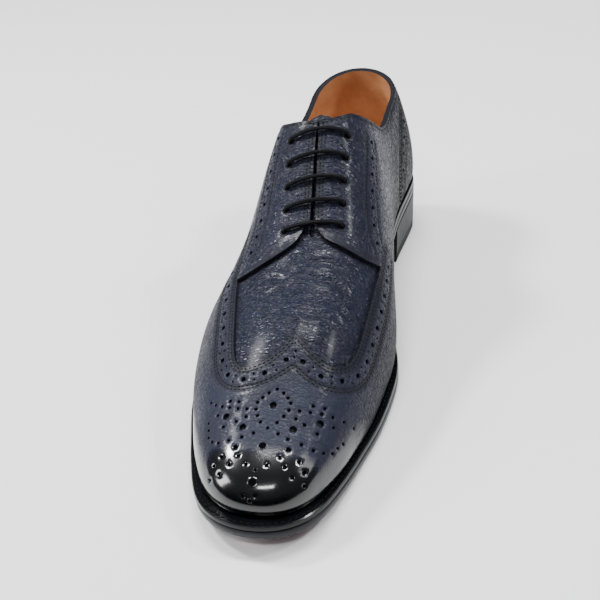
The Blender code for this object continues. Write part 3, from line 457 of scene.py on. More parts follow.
class Nodes:
    """Adds nodes to a tree and joins them: an input is a value, or another node's output."""

    def __init__(self, tree):
        self.tree = tree

    def add(self, kind, inputs=(), **settings):
        node = self.tree.nodes.new(kind)
        for key, value in settings.items():
            setattr(node, key, value)
        for key, value in dict(inputs).items():
            if isinstance(value, bpy.types.NodeSocket):
                self.tree.links.new(value, node.inputs[key])
            else:
                node.inputs[key].default_value = value
        return node

    def math(self, operation, a, b=0.0, c=0.0):
        return self.add("ShaderNodeMath", {0: a, 1: b, 2: c}, operation=operation).outputs[0]

    def vector_math(self, operation, a, b):
        return self.add("ShaderNodeVectorMath", {0: a, 1: b}, operation=operation).outputs[0]

    def ramp(self, value, low, high):
        """0 at low, 1 at high, softly between."""
        node = self.add("ShaderNodeMapRange", {"Value": value, "From Min": low, "From Max": high},
                        interpolation_type="SMOOTHSTEP")
        return node.outputs["Result"]

    def mix(self, amount, first, second):
        """The first colour at 0, the second at 1."""
        node = self.add("ShaderNodeMix", data_type="RGBA")
        for key, value in (("Factor_Float", amount), ("A_Color", first), ("B_Color", second)):
            socket = next(s for s in node.inputs if s.identifier == key)
            if isinstance(value, bpy.types.NodeSocket):
                self.tree.links.new(value, socket)
            else:
                socket.default_value = (*value, 1.0) if isinstance(value, tuple) else value
        return next(s for s in node.outputs if s.identifier == "Result_Color")

    def noise(self, vector, scale, detail=3.0, roughness=0.5):
        node = self.add("ShaderNodeTexNoise", {"Vector": vector, "Scale": scale, "Detail": detail,
                                               "Roughness": roughness})
        return node.outputs["Fac"]

    def voronoi_edges(self, vector, scale):
        """The distance to the nearest edge between random cells."""
        node = self.add("ShaderNodeTexVoronoi", {"Vector": vector, "Scale": scale},
                        feature="DISTANCE_TO_EDGE")
        return node.outputs["Distance"]

    def finish(self, shader, name, value):
        self.tree.links.new(value, shader.inputs[name])

    def bump(self, shader, height, distance):
        bump = self.add("ShaderNodeBump", {"Height": height, "Distance": distance, "Strength": 1.0})
        self.finish(shader, "Normal", bump.outputs[0])


WRINKLE_SWAY = 0.0045
FOLD_RATE = 0.31


def grain_group():
    """Drawn grain: small cells stretched across the foot, longer folds between them, and fine pores."""
    group, n = socketed_group("DrawnGrain", ("Cell Size", "Stretch"), ("Height", "Groove", "Mottle"))
    given = n.add("NodeGroupInput")
    vector = given.outputs["Vector"]
    frequency = n.math("DIVIDE", 1000.0, given.outputs["Cell Size"])
    stretch = given.outputs["Stretch"]
    across = n.add("ShaderNodeCombineXYZ", {"X": stretch, "Y": 1.0, "Z": stretch}).outputs[0]
    warp = n.add("ShaderNodeTexNoise", {"Vector": vector, "Scale": 130.0, "Detail": 2.0}).outputs["Color"]
    warp = n.vector_math("SUBTRACT", warp, (0.5,) * 3)
    warp = n.vector_math("MULTIPLY", warp, (WRINKLE_SWAY,) * 3)
    flat = n.vector_math("MULTIPLY", n.vector_math("ADD", vector, warp), across)
    pillow = n.ramp(n.voronoi_edges(flat, frequency), 0.0, 0.26)
    fold = n.ramp(n.voronoi_edges(flat, n.math("MULTIPLY", frequency, FOLD_RATE)), 0.0, 0.14)
    pores = n.noise(vector, 2600.0, 2.0)
    height = n.math("MULTIPLY_ADD", fold, 0.55, n.math("MULTIPLY", pillow, 0.5))
    height = n.math("MULTIPLY_ADD", pores, 0.10, height)
    soft_fold = n.math("MULTIPLY_ADD", n.math("SQRT", fold), 0.45, 0.55)
    groove = n.math("SUBTRACT", 1.0, n.math("MULTIPLY", n.math("SQRT", pillow), soft_fold))
    mottle = n.noise(vector, 38.0, 4.0, 0.6)
    n.add("NodeGroupOutput", {"Height": height, "Groove": groove, "Mottle": mottle})
    return group


def burnish_and_reflection_group():
    """Burnishing by hand: how dark and how glossy, from the painted share and small clouds of wax; the dark also
    paints the reflection of a dark room.
    """
    group, n = socketed_group("BurnishAndReflection", ("Share",), ("Dark", "Gloss"))
    given = n.add("NodeGroupInput")
    clouds = n.noise(given.outputs["Vector"], 95.0, 3.0, 0.55)
    share = n.math("MULTIPLY_ADD", n.math("SUBTRACT", clouds, 0.5), 0.30, given.outputs["Share"])
    dark = n.ramp(share, 0.12, 0.95)
    gloss = n.ramp(share, 0.10, 0.80)
    n.add("NodeGroupOutput", {"Dark": dark, "Gloss": gloss})
    return group


def thread_group():
    """A laid cord: slanting strands along its length, from the piece's own chart."""
    group, n = socketed_group("LaidCord", ("Strands", "Lay"), ("Height",))
    given = n.add("NodeGroupInput")
    parts = n.add("ShaderNodeSeparateXYZ", {0: given.outputs["Vector"]})
    turn = n.math("MULTIPLY", parts.outputs["Y"], n.math("MULTIPLY", given.outputs["Strands"], 2 * math.pi))
    way = n.math("MULTIPLY_ADD", parts.outputs["X"], given.outputs["Lay"], turn)
    back = n.math("SUBTRACT", n.math("MULTIPLY", parts.outputs["X"], given.outputs["Lay"]), turn)
    plait = n.math("MULTIPLY", n.math("SINE", way), n.math("SINE", back))
    n.add("NodeGroupOutput", {"Height": n.math("MULTIPLY_ADD", plait, 0.5, 0.5)})
    return group


GRAIN = grain_group()
BURNISH_AND_REFLECTION = burnish_and_reflection_group()
CORD = thread_group()


def finish(name):
    made = bpy.data.materials.new(name)
    made.use_nodes = True
    nodes = Nodes(made.node_tree)
    shader = made.node_tree.nodes["Principled BSDF"]
    return made, nodes, shader


def place_group(nodes, group, **inputs):
    node = nodes.add("ShaderNodeGroup")
    node.node_tree = group
    for key, value in inputs.items():
        label = key.replace("_", " ").title()
        if isinstance(value, bpy.types.NodeSocket):
            nodes.tree.links.new(value, node.inputs[label])
        else:
            node.inputs[label].default_value = value
    return node.outputs


def times(colour, amount):
    return tuple(amount * part for part in colour)


# burnished black, which also paints the reflection of a dark room ahead of the toe
BURNISHED_BLACK_AND_REFLECTION = (0.0006, 0.0007, 0.0014)
POLISHED_ROUGHNESS = 0.10
BARE_COAT = 0.04


def leather(name, light, dark, cell, stretch, relief, roughness):
    """Grained leather: colour in the grooves, painted shade where the shade share is high, over the polish a
    burnished black that also paints a dark reflection, gloss on the polished share.
    """
    made, n, shader = finish(name)
    place = n.add("ShaderNodeTexCoord").outputs["Object"]
    # the finish attribute: polish with a painted dark reflection, smoothness, and painted shade
    painted = n.add("ShaderNodeAttribute", attribute_name="finish")
    share = n.add("ShaderNodeSeparateColor", {0: painted.outputs["Color"]})
    polish_and_reflection, calm, shade = share.outputs[0], share.outputs[1], share.outputs[2]
    grain = place_group(n, GRAIN, vector=place, cell_size=cell, stretch=stretch)
    burnish_and_reflection = place_group(n, BURNISH_AND_REFLECTION, vector=place, share=polish_and_reflection)
    tone = n.mix(n.ramp(grain["Mottle"], 0.30, 0.70), light, times(light, 0.72))
    deep = n.math("MULTIPLY", grain["Groove"], n.math("MULTIPLY_ADD", calm, -0.50, 0.66))
    tone = n.mix(deep, tone, dark)
    # painted shade: the leather darkens toward the groove colour where the shade share is high
    tone = n.mix(n.math("MULTIPLY", shade, 0.80), tone, dark)
    # over the polished share: burnished black that also paints the reflection of a dark room
    tone = n.mix(burnish_and_reflection["Dark"], tone, BURNISHED_BLACK_AND_REFLECTION)
    n.finish(shader, "Base Color", tone)
    rough = n.math("MULTIPLY_ADD", grain["Groove"], roughness[1] - roughness[0], roughness[0])
    rough = n.math("MULTIPLY_ADD", shade, 0.16, rough)
    rough = n.math("MULTIPLY_ADD", burnish_and_reflection["Gloss"], n.math("SUBTRACT", POLISHED_ROUGHNESS, rough), rough)
    n.finish(shader, "Roughness", rough)
    n.finish(shader, "Coat Weight", n.math("MULTIPLY_ADD", burnish_and_reflection["Gloss"], 1.0 - BARE_COAT, BARE_COAT))
    shader.inputs["Coat Roughness"].default_value = 0.16
    shader.inputs["Specular IOR Level"].default_value = 0.23
    drawn = n.math("MULTIPLY_ADD", calm, -0.86, 1.0)
    unpolished = n.math("MULTIPLY_ADD", burnish_and_reflection["Gloss"], -0.93, 1.0)
    n.bump(shader, n.math("MULTIPLY", grain["Height"], n.math("MULTIPLY", drawn, unpolished)), relief)
    return made


def plain_leather(name, light, dark, relief=0.00008, roughness=0.55, coat=0.0, streak=(1.0, 1.0, 1.0),
                  specular=0.16):
    """Smooth leather: fine pores, clouds of dye and faint streaks."""
    made, n, shader = finish(name)
    shader.inputs["Specular IOR Level"].default_value = specular
    place = n.add("ShaderNodeTexCoord").outputs["Object"]
    grain = place_group(n, GRAIN, vector=place, cell_size=0.7, stretch=0.9)
    clouds = n.noise(n.vector_math("MULTIPLY", place, streak), 60.0, 5.0, 0.6)
    n.finish(shader, "Base Color", n.mix(n.ramp(clouds, 0.30, 0.72), dark, light))
    n.finish(shader, "Roughness", n.math("MULTIPLY_ADD", clouds, 0.16, roughness - 0.08))
    shader.inputs["Coat Weight"].default_value = coat
    shader.inputs["Coat Roughness"].default_value = 0.12
    n.bump(shader, grain["Height"], relief)
    return made


def waxed_cord(name, colour, strands, lay, relief, roughness):
    made, n, shader = finish(name)
    shader.inputs["Specular IOR Level"].default_value = 0.12
    chart = n.add("ShaderNodeUVMap", uv_map="chart").outputs[0]
    lie = place_group(n, CORD, vector=chart, strands=strands, lay=lay)
    n.finish(shader, "Base Color", n.mix(lie["Height"], times(colour, 0.35), colour))
    shader.inputs["Roughness"].default_value = roughness
    n.bump(shader, lie["Height"], relief)
    return made


def stacked_lifts(name, colour, pitch):
    """Heel lifts: thin dark lines between the layers, and fine vertical scratches of the rasp."""
    made, n, shader = finish(name)
    place = n.add("ShaderNodeTexCoord").outputs["Object"]
    parts = n.add("ShaderNodeSeparateXYZ", {0: place})
    layer = n.math("FRACT", n.math("DIVIDE", n.math("SUBTRACT", parts.outputs["Z"], TOP_PIECE), pitch))
    line = n.math("MULTIPLY", n.ramp(n.math("ABSOLUTE", n.math("SUBTRACT", layer, 0.5)), 0.46, 0.495), 0.35)
    scratches = n.noise(n.vector_math("MULTIPLY", place, (1.0, 1.0, 0.08)), 900.0, 4.0, 0.6)
    tone = n.mix(n.ramp(scratches, 0.35, 0.70), colour, times(colour, 1.5))
    n.finish(shader, "Base Color", n.mix(line, tone, (0.002, 0.002, 0.002)))
    n.finish(shader, "Roughness", n.math("MULTIPLY_ADD", scratches, 0.2, 0.34))
    shader.inputs["Specular IOR Level"].default_value = 0.16
    n.bump(shader, n.math("SUBTRACT", n.math("MULTIPLY", scratches, 0.15), line), 0.0002)
    return made


NAVY_GROOVE_AND_SHADE = (0.0008, 0.0010, 0.0032)
navy = leather("navy_grain", (0.0098, 0.0124, 0.0310), NAVY_GROOVE_AND_SHADE, cell=1.35, stretch=0.40, relief=0.00054,
               roughness=(0.25, 0.66))
navy_cap = leather("navy_cap", (0.0092, 0.0116, 0.0290), NAVY_GROOVE_AND_SHADE, cell=1.3, stretch=0.50, relief=0.00045,
                   roughness=(0.36, 0.66))
cut_edge = plain_leather("inked_cut_edge", (0.005, 0.006, 0.011), (0.002, 0.0025, 0.005), roughness=0.65)
# a near-black, barely reflecting finish: painted shade for the floors of the holes on the toe's middle line
hole_shadow = plain_leather("punched_hole_shadow", (0.0015, 0.0015, 0.0025), (0.001, 0.001, 0.0015), roughness=0.8,
                          specular=0.02)
tan = plain_leather("tan_lining", (0.60, 0.31, 0.15), (0.46, 0.21, 0.09), relief=0.00006, roughness=0.50)
sock = plain_leather("tan_sock", (0.56, 0.26, 0.10), (0.42, 0.17, 0.060), relief=0.00006, roughness=0.55)
black_edge = plain_leather("black_edge_ink", (0.0030, 0.0032, 0.0045), (0.0015, 0.0015, 0.0022),
                           relief=0.00002, roughness=0.24, coat=0.2)
slate_edge = plain_leather("slate_edge_ink", (0.010, 0.012, 0.016), (0.006, 0.007, 0.010),
                           relief=0.00004, roughness=0.36, coat=0.1)
underside = plain_leather("burgundy_underside", (0.070, 0.008, 0.014), (0.040, 0.005, 0.009),
                          relief=0.00004, roughness=0.42, coat=0.2, streak=(1.0, 0.3, 1.0))
lifts = stacked_lifts("heel_lifts", (0.0045, 0.005, 0.007), 0.0052)
rubber = plain_leather("heel_rubber", (0.012, 0.012, 0.013), (0.007, 0.007, 0.008),
                       relief=0.00005, roughness=0.60)
lace_cotton = waxed_cord("waxed_lace", (0.0035, 0.0035, 0.006), 4.0, 4200.0, 0.00016, 0.60)
navy_thread = waxed_cord("navy_thread", (0.0015, 0.0018, 0.004), 1.0, 9000.0, 0.00003, 0.60)
black_thread = waxed_cord("black_thread", (0.0015, 0.0015, 0.002), 1.0, 9000.0, 0.00004, 0.55)


# Charts: flat places for a panel's outline, holes and rows of stitches

GIRTH_SCALE = 0.075
PANEL_FOOT = 0.012
LENGTH_SCALE = 0.33


def front_chart(places):
    """Over the ridge: along the foot, and across from the lateral to the medial feather line."""
    side = np.where(places[:, 1] < 0, -1.0, 1.0)
    return side, places[:, 0] / LENGTH_SCALE, 1 - np.abs(places[:, 1]) / GIRTH_SCALE


def back_chart(places):
    """Round the heel: from the lateral side to the medial, and up from the feather line."""
    side = np.where(places[:, 0] < 0, -1.0, 1.0)
    return side, np.abs(places[:, 0]) / LENGTH_SCALE, places[:, 1] / GIRTH_SCALE


def at(chart, places, offset=0.0):
    side, u, v = chart(np.asarray(places, float))
    v = np.maximum(v, PANEL_FOOT)
    return standing(side, u, v, offset * np.ones(len(u)))


def frames(chart, places):
    """At each place: the two steps of the chart in metres, and the direction out of the shoe."""
    small = 2e-5
    along_a = (at(chart, places + (small, 0)) - at(chart, places - (small, 0))) / (2 * small)
    along_b = (at(chart, places + (0, small)) - at(chart, places - (0, small))) / (2 * small)
    out = at(chart, places, 0.0005) - at(chart, places, 0.0)
    return along_a, along_b, out / np.linalg.norm(out, axis=1, keepdims=True)


def step(chart, places, moves):
    """Places moved over the surface by small moves in metres."""
    along_a, along_b, _ = frames(chart, places)
    aa = (along_a * along_a).sum(1)
    ab = (along_a * along_b).sum(1)
    bb = (along_b * along_b).sum(1)
    ma = (moves * along_a).sum(1)
    mb = (moves * along_b).sum(1)
    det = np.maximum(aa * bb - ab * ab, 1e-9)
    return places + np.stack([(bb * ma - ab * mb) / det, (aa * mb - ab * ma) / det], 1)


def tree_of(points):
    tree = KDTree(len(points))
    for k, point in enumerate(points):
        tree.insert(point if len(point) == 3 else (*point, 0.0), k)
    tree.balance()
    return tree


def nearest(tree, points):
    return np.array([tree.find(point if len(point) == 3 else (*point, 0.0))[2] for point in points])


def spaced_row(chart, row, pitch, closed=False):
    """Places along a row, one every pitch in metres."""
    row = np.asarray(row, float)
    if closed:
        row = np.vstack([row, row[:1]])
    fine = np.vstack([np.linspace(a, b, 12)[:-1] for a, b in zip(row[:-1], row[1:])] + [row[-1:]])
    lengths = np.concatenate([[0], np.cumsum(np.linalg.norm(np.diff(at(chart, fine), axis=0), axis=1))])
    count = max(2, int(round(lengths[-1] / pitch)) + 1)
    wanted = np.linspace(0, lengths[-1], count)
    made = np.stack([np.interp(wanted, lengths, fine[:, axis]) for axis in (0, 1)], 1)
    return made[:-1] if closed else made


def beside(chart, row, distance, hand):
    """A row at a distance from another, on its left (1) or right (-1) seen from outside."""
    moved = spaced_row(chart, row, 0.001)
    start = at(chart, moved)
    for part in range(4):
        points = at(chart, moved)
        ahead = np.gradient(points, axis=0)
        ahead /= np.maximum(np.linalg.norm(ahead, axis=1, keepdims=True), 1e-9)
        _, _, out = frames(chart, moved)
        moved = step(chart, moved, np.cross(out, ahead) * hand * distance / 4)
    gap = nearest(tree_of(start), at(chart, moved))
    return moved[gap > 0.96 * distance]


def rings(chart, centres, radii, count):
    """Round rings of places on the surface, one for each centre."""
    centres = np.asarray(centres, float)
    along_a, _, out = frames(chart, centres)
    first = along_a / np.linalg.norm(along_a, axis=1, keepdims=True)
    second = np.cross(out, first)
    turn = np.linspace(0, 2 * math.pi, count, endpoint=False)
    moves = (np.cos(turn)[None, :, None] * first[:, None] + np.sin(turn)[None, :, None] * second[:, None])
    moves = moves * np.asarray(radii, float)[:, None, None]
    moves = moves.reshape(-1, 3)
    goal = np.repeat(at(chart, centres), count, 0) + moves
    made = np.repeat(centres, count, 0)
    for _ in range(4):
        made = step(chart, made, goal - at(chart, made))
    return made.reshape(len(centres), count, 2)


def inside_loop(points, loop):
    x, y = points[:, 0], points[:, 1]
    inside = np.zeros(len(points), bool)
    for (x1, y1), (x2, y2) in zip(loop, np.roll(loop, -1, 0)):
        spans = (y1 > y) != (y2 > y)
        inside ^= spans & (x < x1 + (y - y1) * (x2 - x1) / (y2 - y1 if y2 != y1 else 1.0))
    return inside


def outside_holes(chart, places, holes):
    """The places that no hole takes away."""
    if not holes or not len(places):
        return places
    centres = at(chart, np.array([hole[0] for hole in holes]))
    radii = np.array([hole[1] for hole in holes])
    gap = np.linalg.norm(at(chart, places)[:, None] - centres[None], axis=2) - radii[None]
    return places[gap.min(1) > 0.0001]


def smooth_step(x):
    x = np.clip(x, 0.0, 1.0)
    return x * x * (3 - 2 * x)


# Pieces

def turn_outward(mesh):
    """Takes away slivers that hang on by one edge, and winds every face the same way, outward."""
    work = bmesh.new()
    work.from_mesh(mesh)
    hanging = [face for face in work.faces if sum(len(edge.link_faces) != 2 for edge in face.edges) > 2]
    bmesh.ops.delete(work, geom=hanging, context="FACES_ONLY")
    bmesh.ops.recalc_face_normals(work, faces=work.faces)
    if work.calc_volume(signed=True) < 0:
        bmesh.ops.reverse_faces(work, faces=work.faces)
    work.to_mesh(mesh)
    work.free()


def add_mesh(name, vertices, faces, materials, indices=None, smooth_angle=40):
    mesh = bpy.data.meshes.new(name)
    places = [tuple(p) for p in np.asarray(vertices, float)]
    mesh.from_pydata(places, [], [tuple(int(k) for k in face) for face in faces])
    mesh.validate()
    for made in materials:
        mesh.materials.append(made)
    if indices is not None and len(indices) == len(mesh.polygons):
        mesh.polygons.foreach_set("material_index", np.asarray(indices, np.int32))
    turn_outward(mesh)
    mesh.shade_smooth()
    if smooth_angle < 180:
        mesh.set_sharp_from_angle(angle=math.radians(smooth_angle))
    made = bpy.data.objects.new(name, mesh)
    bpy.context.scene.collection.objects.link(made)
    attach(made, "root")
    return made


def paint_finish_and_shade(made, polish_and_reflection, calm, shade):
    """How polished, how smooth and how shaded each point is, for the leather's own nodes: the polish also paints
    a dark reflection, the shade is painted shade.
    """
    layer = made.data.color_attributes.new("finish", "FLOAT_COLOR", "POINT")
    values = np.stack([polish_and_reflection, calm, shade, np.ones(len(polish_and_reflection))], 1)
    layer.data.foreach_set("color", np.clip(values, 0, 1).astype(np.float32).ravel())


def grid_faces(rows, columns, first=0, flip=False):
    i, j = np.meshgrid(np.arange(rows - 1), np.arange(columns - 1), indexing="ij")
    a = (first + i * columns + j).ravel()
    quads = np.stack([a, a + 1, a + columns + 1, a + columns], 1)
    return quads[:, ::-1] if flip else quads


def toe_polish_and_reflection(points):
    """The burnished share, which also paints the reflection of a dark room: full at the toe's front, fading up
    over the cap and back along its sides.
    """
    forward = -(points[:, 1] - stand[1]) + SOLE_LENGTH / 2
    rise = points[:, 2] - feather_height(forward)
    across = np.abs(points[:, 0] - stand[0] - 0.001)
    front = smooth_step((forward - 0.2685 + 0.10 * across) / 0.013)
    low = 0.60 * smooth_step((forward - 0.222) / 0.03) * smooth_step((0.018 - rise) / 0.009)
    return np.maximum(front * (1 - 0.8 * smooth_step((across - 0.021) / 0.010)), low)


def side_shade(side, v, points):
    """Painted shade: darker low on the sides, most on the medial side and less toward the toe, and darker toward
    the heel.
    """
    low = smooth_step((0.46 - v) / 0.46)
    forward = forward_of(points)
    waist = 1 - 0.35 * smooth_step((forward - 0.20) / 0.04)
    # the medial side gets more painted shade than the lateral
    medial = np.where(side > 0, 1.0, 0.72)
    heel = 0.45 * smooth_step((0.085 - forward) / 0.05)
    return np.clip(low * waist * medial + heel, 0, 1)


OUTER = PANEL_LIFT + PANEL
SMALL_HOLE = 0.0008
CUT_ROUND = 0.0007
HOLE_LIP = 0.00022
SEAM_SINK = 0.00028
SEAM_WIDTH = 0.0007
EDGE_RISE = 0.0009


def make_panel(name, node, chart, loop, spacing, holes, rows, faces_material, calm=0.0,
               polish_and_reflection=True, drawn_ready=False, raised_edge=None, cut=None):
    """A cut panel: an edge that is rounded over, punched holes with soft lips, and sunk rows of stitches.

    holes are (place, radius); rows are rows of places that the stitches follow."""
    if not drawn_ready:
        loop = spaced_row(chart, loop, 0.0011, closed=True)
    punched, lips = [], []
    large = [hole for hole in holes if hole[1] > SMALL_HOLE]
    small = [hole for hole in holes if hole[1] <= SMALL_HOLE]
    for count, chosen in ((14, large), (9, small)):
        if chosen:
            centres, radii = np.array([h[0] for h in chosen]), np.array([h[1] for h in chosen])
            punched += list(rings(chart, centres, radii, count))
            lips += list(rings(chart, centres, radii * 1.25 + 0.00025, count))
    rows = [row for row in rows if len(row) > 6]
    features = [loop] + punched + lips + [spaced_row(chart, row, 0.0013) for row in rows]
    tree = tree_of(np.vstack(features[:1 + len(punched)]))
    kept = features[:1 + len(punched)]
    for extra in features[1 + len(punched):]:
        near = nearest(tree, extra)
        kept.append(extra[(near > 0.00022) & inside_loop(extra, loop)])
    low, high = loop.min(0), loop.max(0)
    columns = np.arange(low[0], high[0], spacing)
    grid = np.stack(np.meshgrid(columns, np.arange(low[1], high[1], spacing * 0.87)), -1)
    grid[::2, :, 0] += spacing / 2
    grid = grid.reshape(-1, 2)
    grid = grid[inside_loop(grid, loop)]
    grid = grid[nearest(tree_of(np.vstack(kept)), grid) > 0.62 * spacing]
    free = [outside_holes(chart, part, holes) for part in kept[1 + len(punched):] + [grid]]
    kept = kept[:1 + len(punched)] + free
    all_places = np.vstack(kept)
    tag = np.full(len(all_places), -1)
    edges, first = [], 0
    for k, part in enumerate(kept[:1 + len(punched)]):
        count = len(part)
        tag[first:first + count] = k
        edges += [(first + i, first + (i + 1) % count) for i in range(count)]
        first += count
    made = delaunay_2d_cdt([Vector(p) for p in all_places], edges, [], 1, 2e-6)
    places = np.array([tuple(p) for p in made[0]])
    tags = np.array([max(tag[k] for k in given) if given else -1 for given in made[3]])
    triangles = np.array(made[2])
    triple = tags[triangles]
    in_hole = (triple[:, 0] > 0) & (triple[:, 0] == triple[:, 1]) & (triple[:, 1] == triple[:, 2])
    triangles = triangles[~in_hole]
    base = at(chart, places, OUTER)
    drop = np.zeros(len(places))
    far = nearest(tree_of(at(chart, loop if cut is None else cut, OUTER)), base)
    drop += CUT_ROUND * (1 - smooth_step(far / 0.0011)) * 0.55
    if rows:
        sewn = np.vstack([spaced_row(chart, row, 0.0004) for row in rows])
        away = nearest(tree_of(at(chart, sewn, OUTER)), base)
        drop += SEAM_SINK * np.exp(-(away / SEAM_WIDTH)**2)
        drop -= 0.00010 * np.exp(-((away - 0.0021) / 0.0012)**2)
    drop[tags > 0] += HOLE_LIP
    if raised_edge is not None:
        lifted = nearest(tree_of(at(chart, raised_edge, OUTER)), base)
        drop -= EDGE_RISE * (1 - smooth_step(lifted / 0.0060))
    side, u, v = chart(places)
    v = np.maximum(v, PANEL_FOOT)
    top = standing(side, u, v, OUTER - drop)
    bottom = standing(side, u, v, np.full(len(u), 0.00005))
    # places that meet at the toe or the heel share one vertex
    keys, welded = {}, np.zeros(len(top), int)
    for k, point in enumerate(np.round(at(chart, places, 0.0), 6)):
        welded[k] = keys.setdefault(tuple(point), k)
    triangles = welded[triangles]
    flat = (triangles == np.roll(triangles, 1, axis=1)).any(1)
    triangles = triangles[~flat]
    corner = top[triangles]
    facing = np.cross(corner[:, 1] - corner[:, 0], corner[:, 2] - corner[:, 0])
    outward = (top - standing(side, u, v, np.full(len(u), -0.001)))[triangles[:, 0]]
    wrong = (facing * outward).sum(1) < 0
    triangles[wrong] = triangles[wrong][:, ::-1]
    sides = {}
    for a, b, c in triangles:
        for edge in ((a, b), (b, c), (c, a)):
            key = (min(edge), max(edge))
            sides[key] = None if key in sides else edge
    walls = np.array([edge for edge in sides.values() if edge is not None])
    count = len(top)
    quads = np.stack([walls[:, 1], walls[:, 0], walls[:, 0] + count, walls[:, 1] + count], 1)
    under = triangles[:, ::-1] + count
    faces = [tuple(t) for t in triangles] + [tuple(q) for q in quads] + [tuple(t) for t in under]
    indices = [0] * len(triangles) + [1] * (len(quads) + len(under))
    piece = add_mesh(name, np.vstack([top, bottom]), faces, [faces_material, cut_edge], indices, 50)
    # the toe's burnish, which also paints a dark reflection
    shine = toe_polish_and_reflection(top) if polish_and_reflection else np.zeros(count)
    shade = side_shade(side, v, top)
    # painted shade in the sunk seams and along the rounded-over cut edge
    if rows:
        shade = np.clip(shade + 0.75 * np.exp(-(away / 0.0011)**2), 0, 1)
    shade = np.clip(shade + 0.5 * (1 - smooth_step(far / 0.0012)), 0, 1)
    smooth = np.full(count, calm) if np.isscalar(calm) else calm(top)
    if rows:
        smooth = np.maximum(smooth, 0.9 * np.exp(-(away / 0.0018)**2))
    doubled = [np.concatenate([part, part]) for part in (shine, smooth, shade)]
    paint_finish_and_shade(piece, *doubled)
    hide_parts(node)
    return piece


STITCH_PROFILE = ((0.0, 0.10, -0.9), (0.14, 0.80, -0.1), (0.38, 1.0, 0.45),
                  (0.62, 1.0, 0.45), (0.86, 0.80, -0.1),
                  (1.0, 0.10, -0.9))


def seam(chart, row, height, length=0.0017, gap=0.0006):
    """Where the stitches of a row begin and end, and the way out of the shoe there."""
    ends = spaced_row(chart, row, length + gap)
    return at(chart, ends, height), frames(chart, ends)[2]


def make_stitches(name, seams, thread, filled=0.74, radius=0.00024):
    """Rows of stitches lying in their seams; each fills part of the way between two punched places."""
    vertices, faces, chart_places = [], [], []
    sides = 6
    turn = np.linspace(0, 2 * math.pi, sides, endpoint=False)
    for points, out in seams:
        for start, end, up in zip(points[:-1], points[1:], (out[:-1] + out[1:]) / 2):
            ahead = (end - start) * filled
            across = np.cross(up, ahead)
            size = np.linalg.norm(across)
            if size < 1e-7:
                continue
            across /= size
            first = len(vertices)
            for way, thick, rise in STITCH_PROFILE:
                centre = start + ahead * way + up * radius * rise
                for t in turn:
                    vertices.append(centre + radius * thick * (math.cos(t) * across + math.sin(t) * up))
                    chart_places.append((way * np.linalg.norm(ahead), t / (2 * math.pi)))
            for level in range(len(STITCH_PROFILE) - 1):
                a = first + level * sides
                faces += [(a + k, a + (k + 1) % sides, a + sides + (k + 1) % sides, a + sides + k)
                          for k in range(sides)]
            last = first + (len(STITCH_PROFILE) - 1) * sides
            faces.append(tuple(range(first, first + sides))[::-1])
            faces.append(tuple(range(last, last + sides)))
    made = add_mesh(name, vertices, faces, [thread], None, 180)
    set_chart(made, chart_places)
    return made


def set_chart(made, places):
    """The piece's own flat chart, in metres along and turns around, for its thread or weave."""
    layer = made.data.uv_layers.new(name="chart")
    index = np.empty(len(made.data.loops), np.int32)
    made.data.loops.foreach_get("vertex_index", index)
    layer.data.foreach_set("uv", np.asarray(places, np.float32)[index].ravel())


# The upper: one wall, folded in soft creases where the foot bends, tan inside

REAR_ROWS, FACING_ROWS, THROAT_ROWS, TOE_ROWS, GIRTH_ROWS = 60, 18, 30, 96, 64

# Creases over the vamp: share of the length and girth (medial +, lateral -) at both ends, depth and
# half width
CREASES = (
    ((0.575, -0.10), (0.590, 0.20), 0.00080, 0.0015),
    ((0.610, -0.02), (0.625, 0.34), 0.00090, 0.0016),
    ((0.640, -0.22), (0.632, 0.10), 0.00060, 0.0014),
    ((0.655, 0.12), (0.668, 0.42), 0.00080, 0.0015),
    ((0.600, -0.34), (0.618, -0.08), 0.00060, 0.0014),
    ((0.690, -0.16), (0.684, 0.26), 0.00050, 0.0017),
)


def crease_sink(side, share, v):
    """How deep the creases sink the vamp."""
    across = side * (1 - v)
    sink = np.zeros(np.shape(share))
    for (s0, g0), (s1, g1), depth, width in CREASES:
        way = np.clip((across - g0) / (g1 - g0), 0, 1)
        wave = 0.004 * np.sin(way * 9.0 + 40 * s0)
        middle = s0 + (s1 - s0) * way + wave
        fade = smooth_step(way / 0.25) * smooth_step((1 - way) / 0.25)
        away = (share - middle) * FEATHER_LENGTH / width
        sink += depth * fade * (np.exp(-away**2) - 0.45 * np.exp(-((np.abs(away) - 2.0) / 1.0)**2))
    return sink


def upper_places(side):
    """The grid of places on one side of the upper, rows from the heel to the toe, columns up each rib."""
    rim_u, rim_v = collar_edge(side)
    closed_u = np.linspace(rim_u[-1], 1.0, TOE_ROWS + 1)[1:]
    top_u = np.concatenate([rim_u, closed_u])
    top_v = np.concatenate([rim_v, np.ones(TOE_ROWS)])
    corner, front = REAR_ROWS, REAR_ROWS + FACING_ROWS
    throat = front + THROAT_ROWS
    rows = np.arange(len(top_u))
    back, ahead = int(REAR_ROWS * 0.75), int(THROAT_ROWS * 0.43)
    keys = [0, back, corner, front, front + ahead, throat]
    stations = [top_u[0], top_u[back], station_of(share_at(FACING_CORNER - 0.008)),
                station_of(share_at(FACING_TOP + 0.010)), top_u[front + ahead] + 0.008, top_u[throat]]
    foot_u = np.interp(rows, keys, stations)
    foot_u = np.where(rows < back, top_u, np.where(rows > throat, top_u, foot_u))
    way = np.linspace(0, 1, GIRTH_ROWS + 1)[None, :]
    return foot_u[:, None] + (top_u - foot_u)[:, None] * way, top_v[:, None] * way


def painted_panel_shadow(side, u, v, points):
    """Painted shadow: 1 under the panels, so what shows through their holes is dark, and a painted contact
    shadow a little way out from their front edges.
    """
    places = over_ridge(side, np.stack([u, v], 1))
    hidden = inside_loop(places, wing_loop) | inside_loop(places, quarter_loops[side])
    away = nearest(tree_of(at(front_chart, np.vstack([whole_edge, quarter_edges[side]]))), points)
    return np.maximum(hidden, 0.95 * np.exp(-(away / 0.0016)**2))


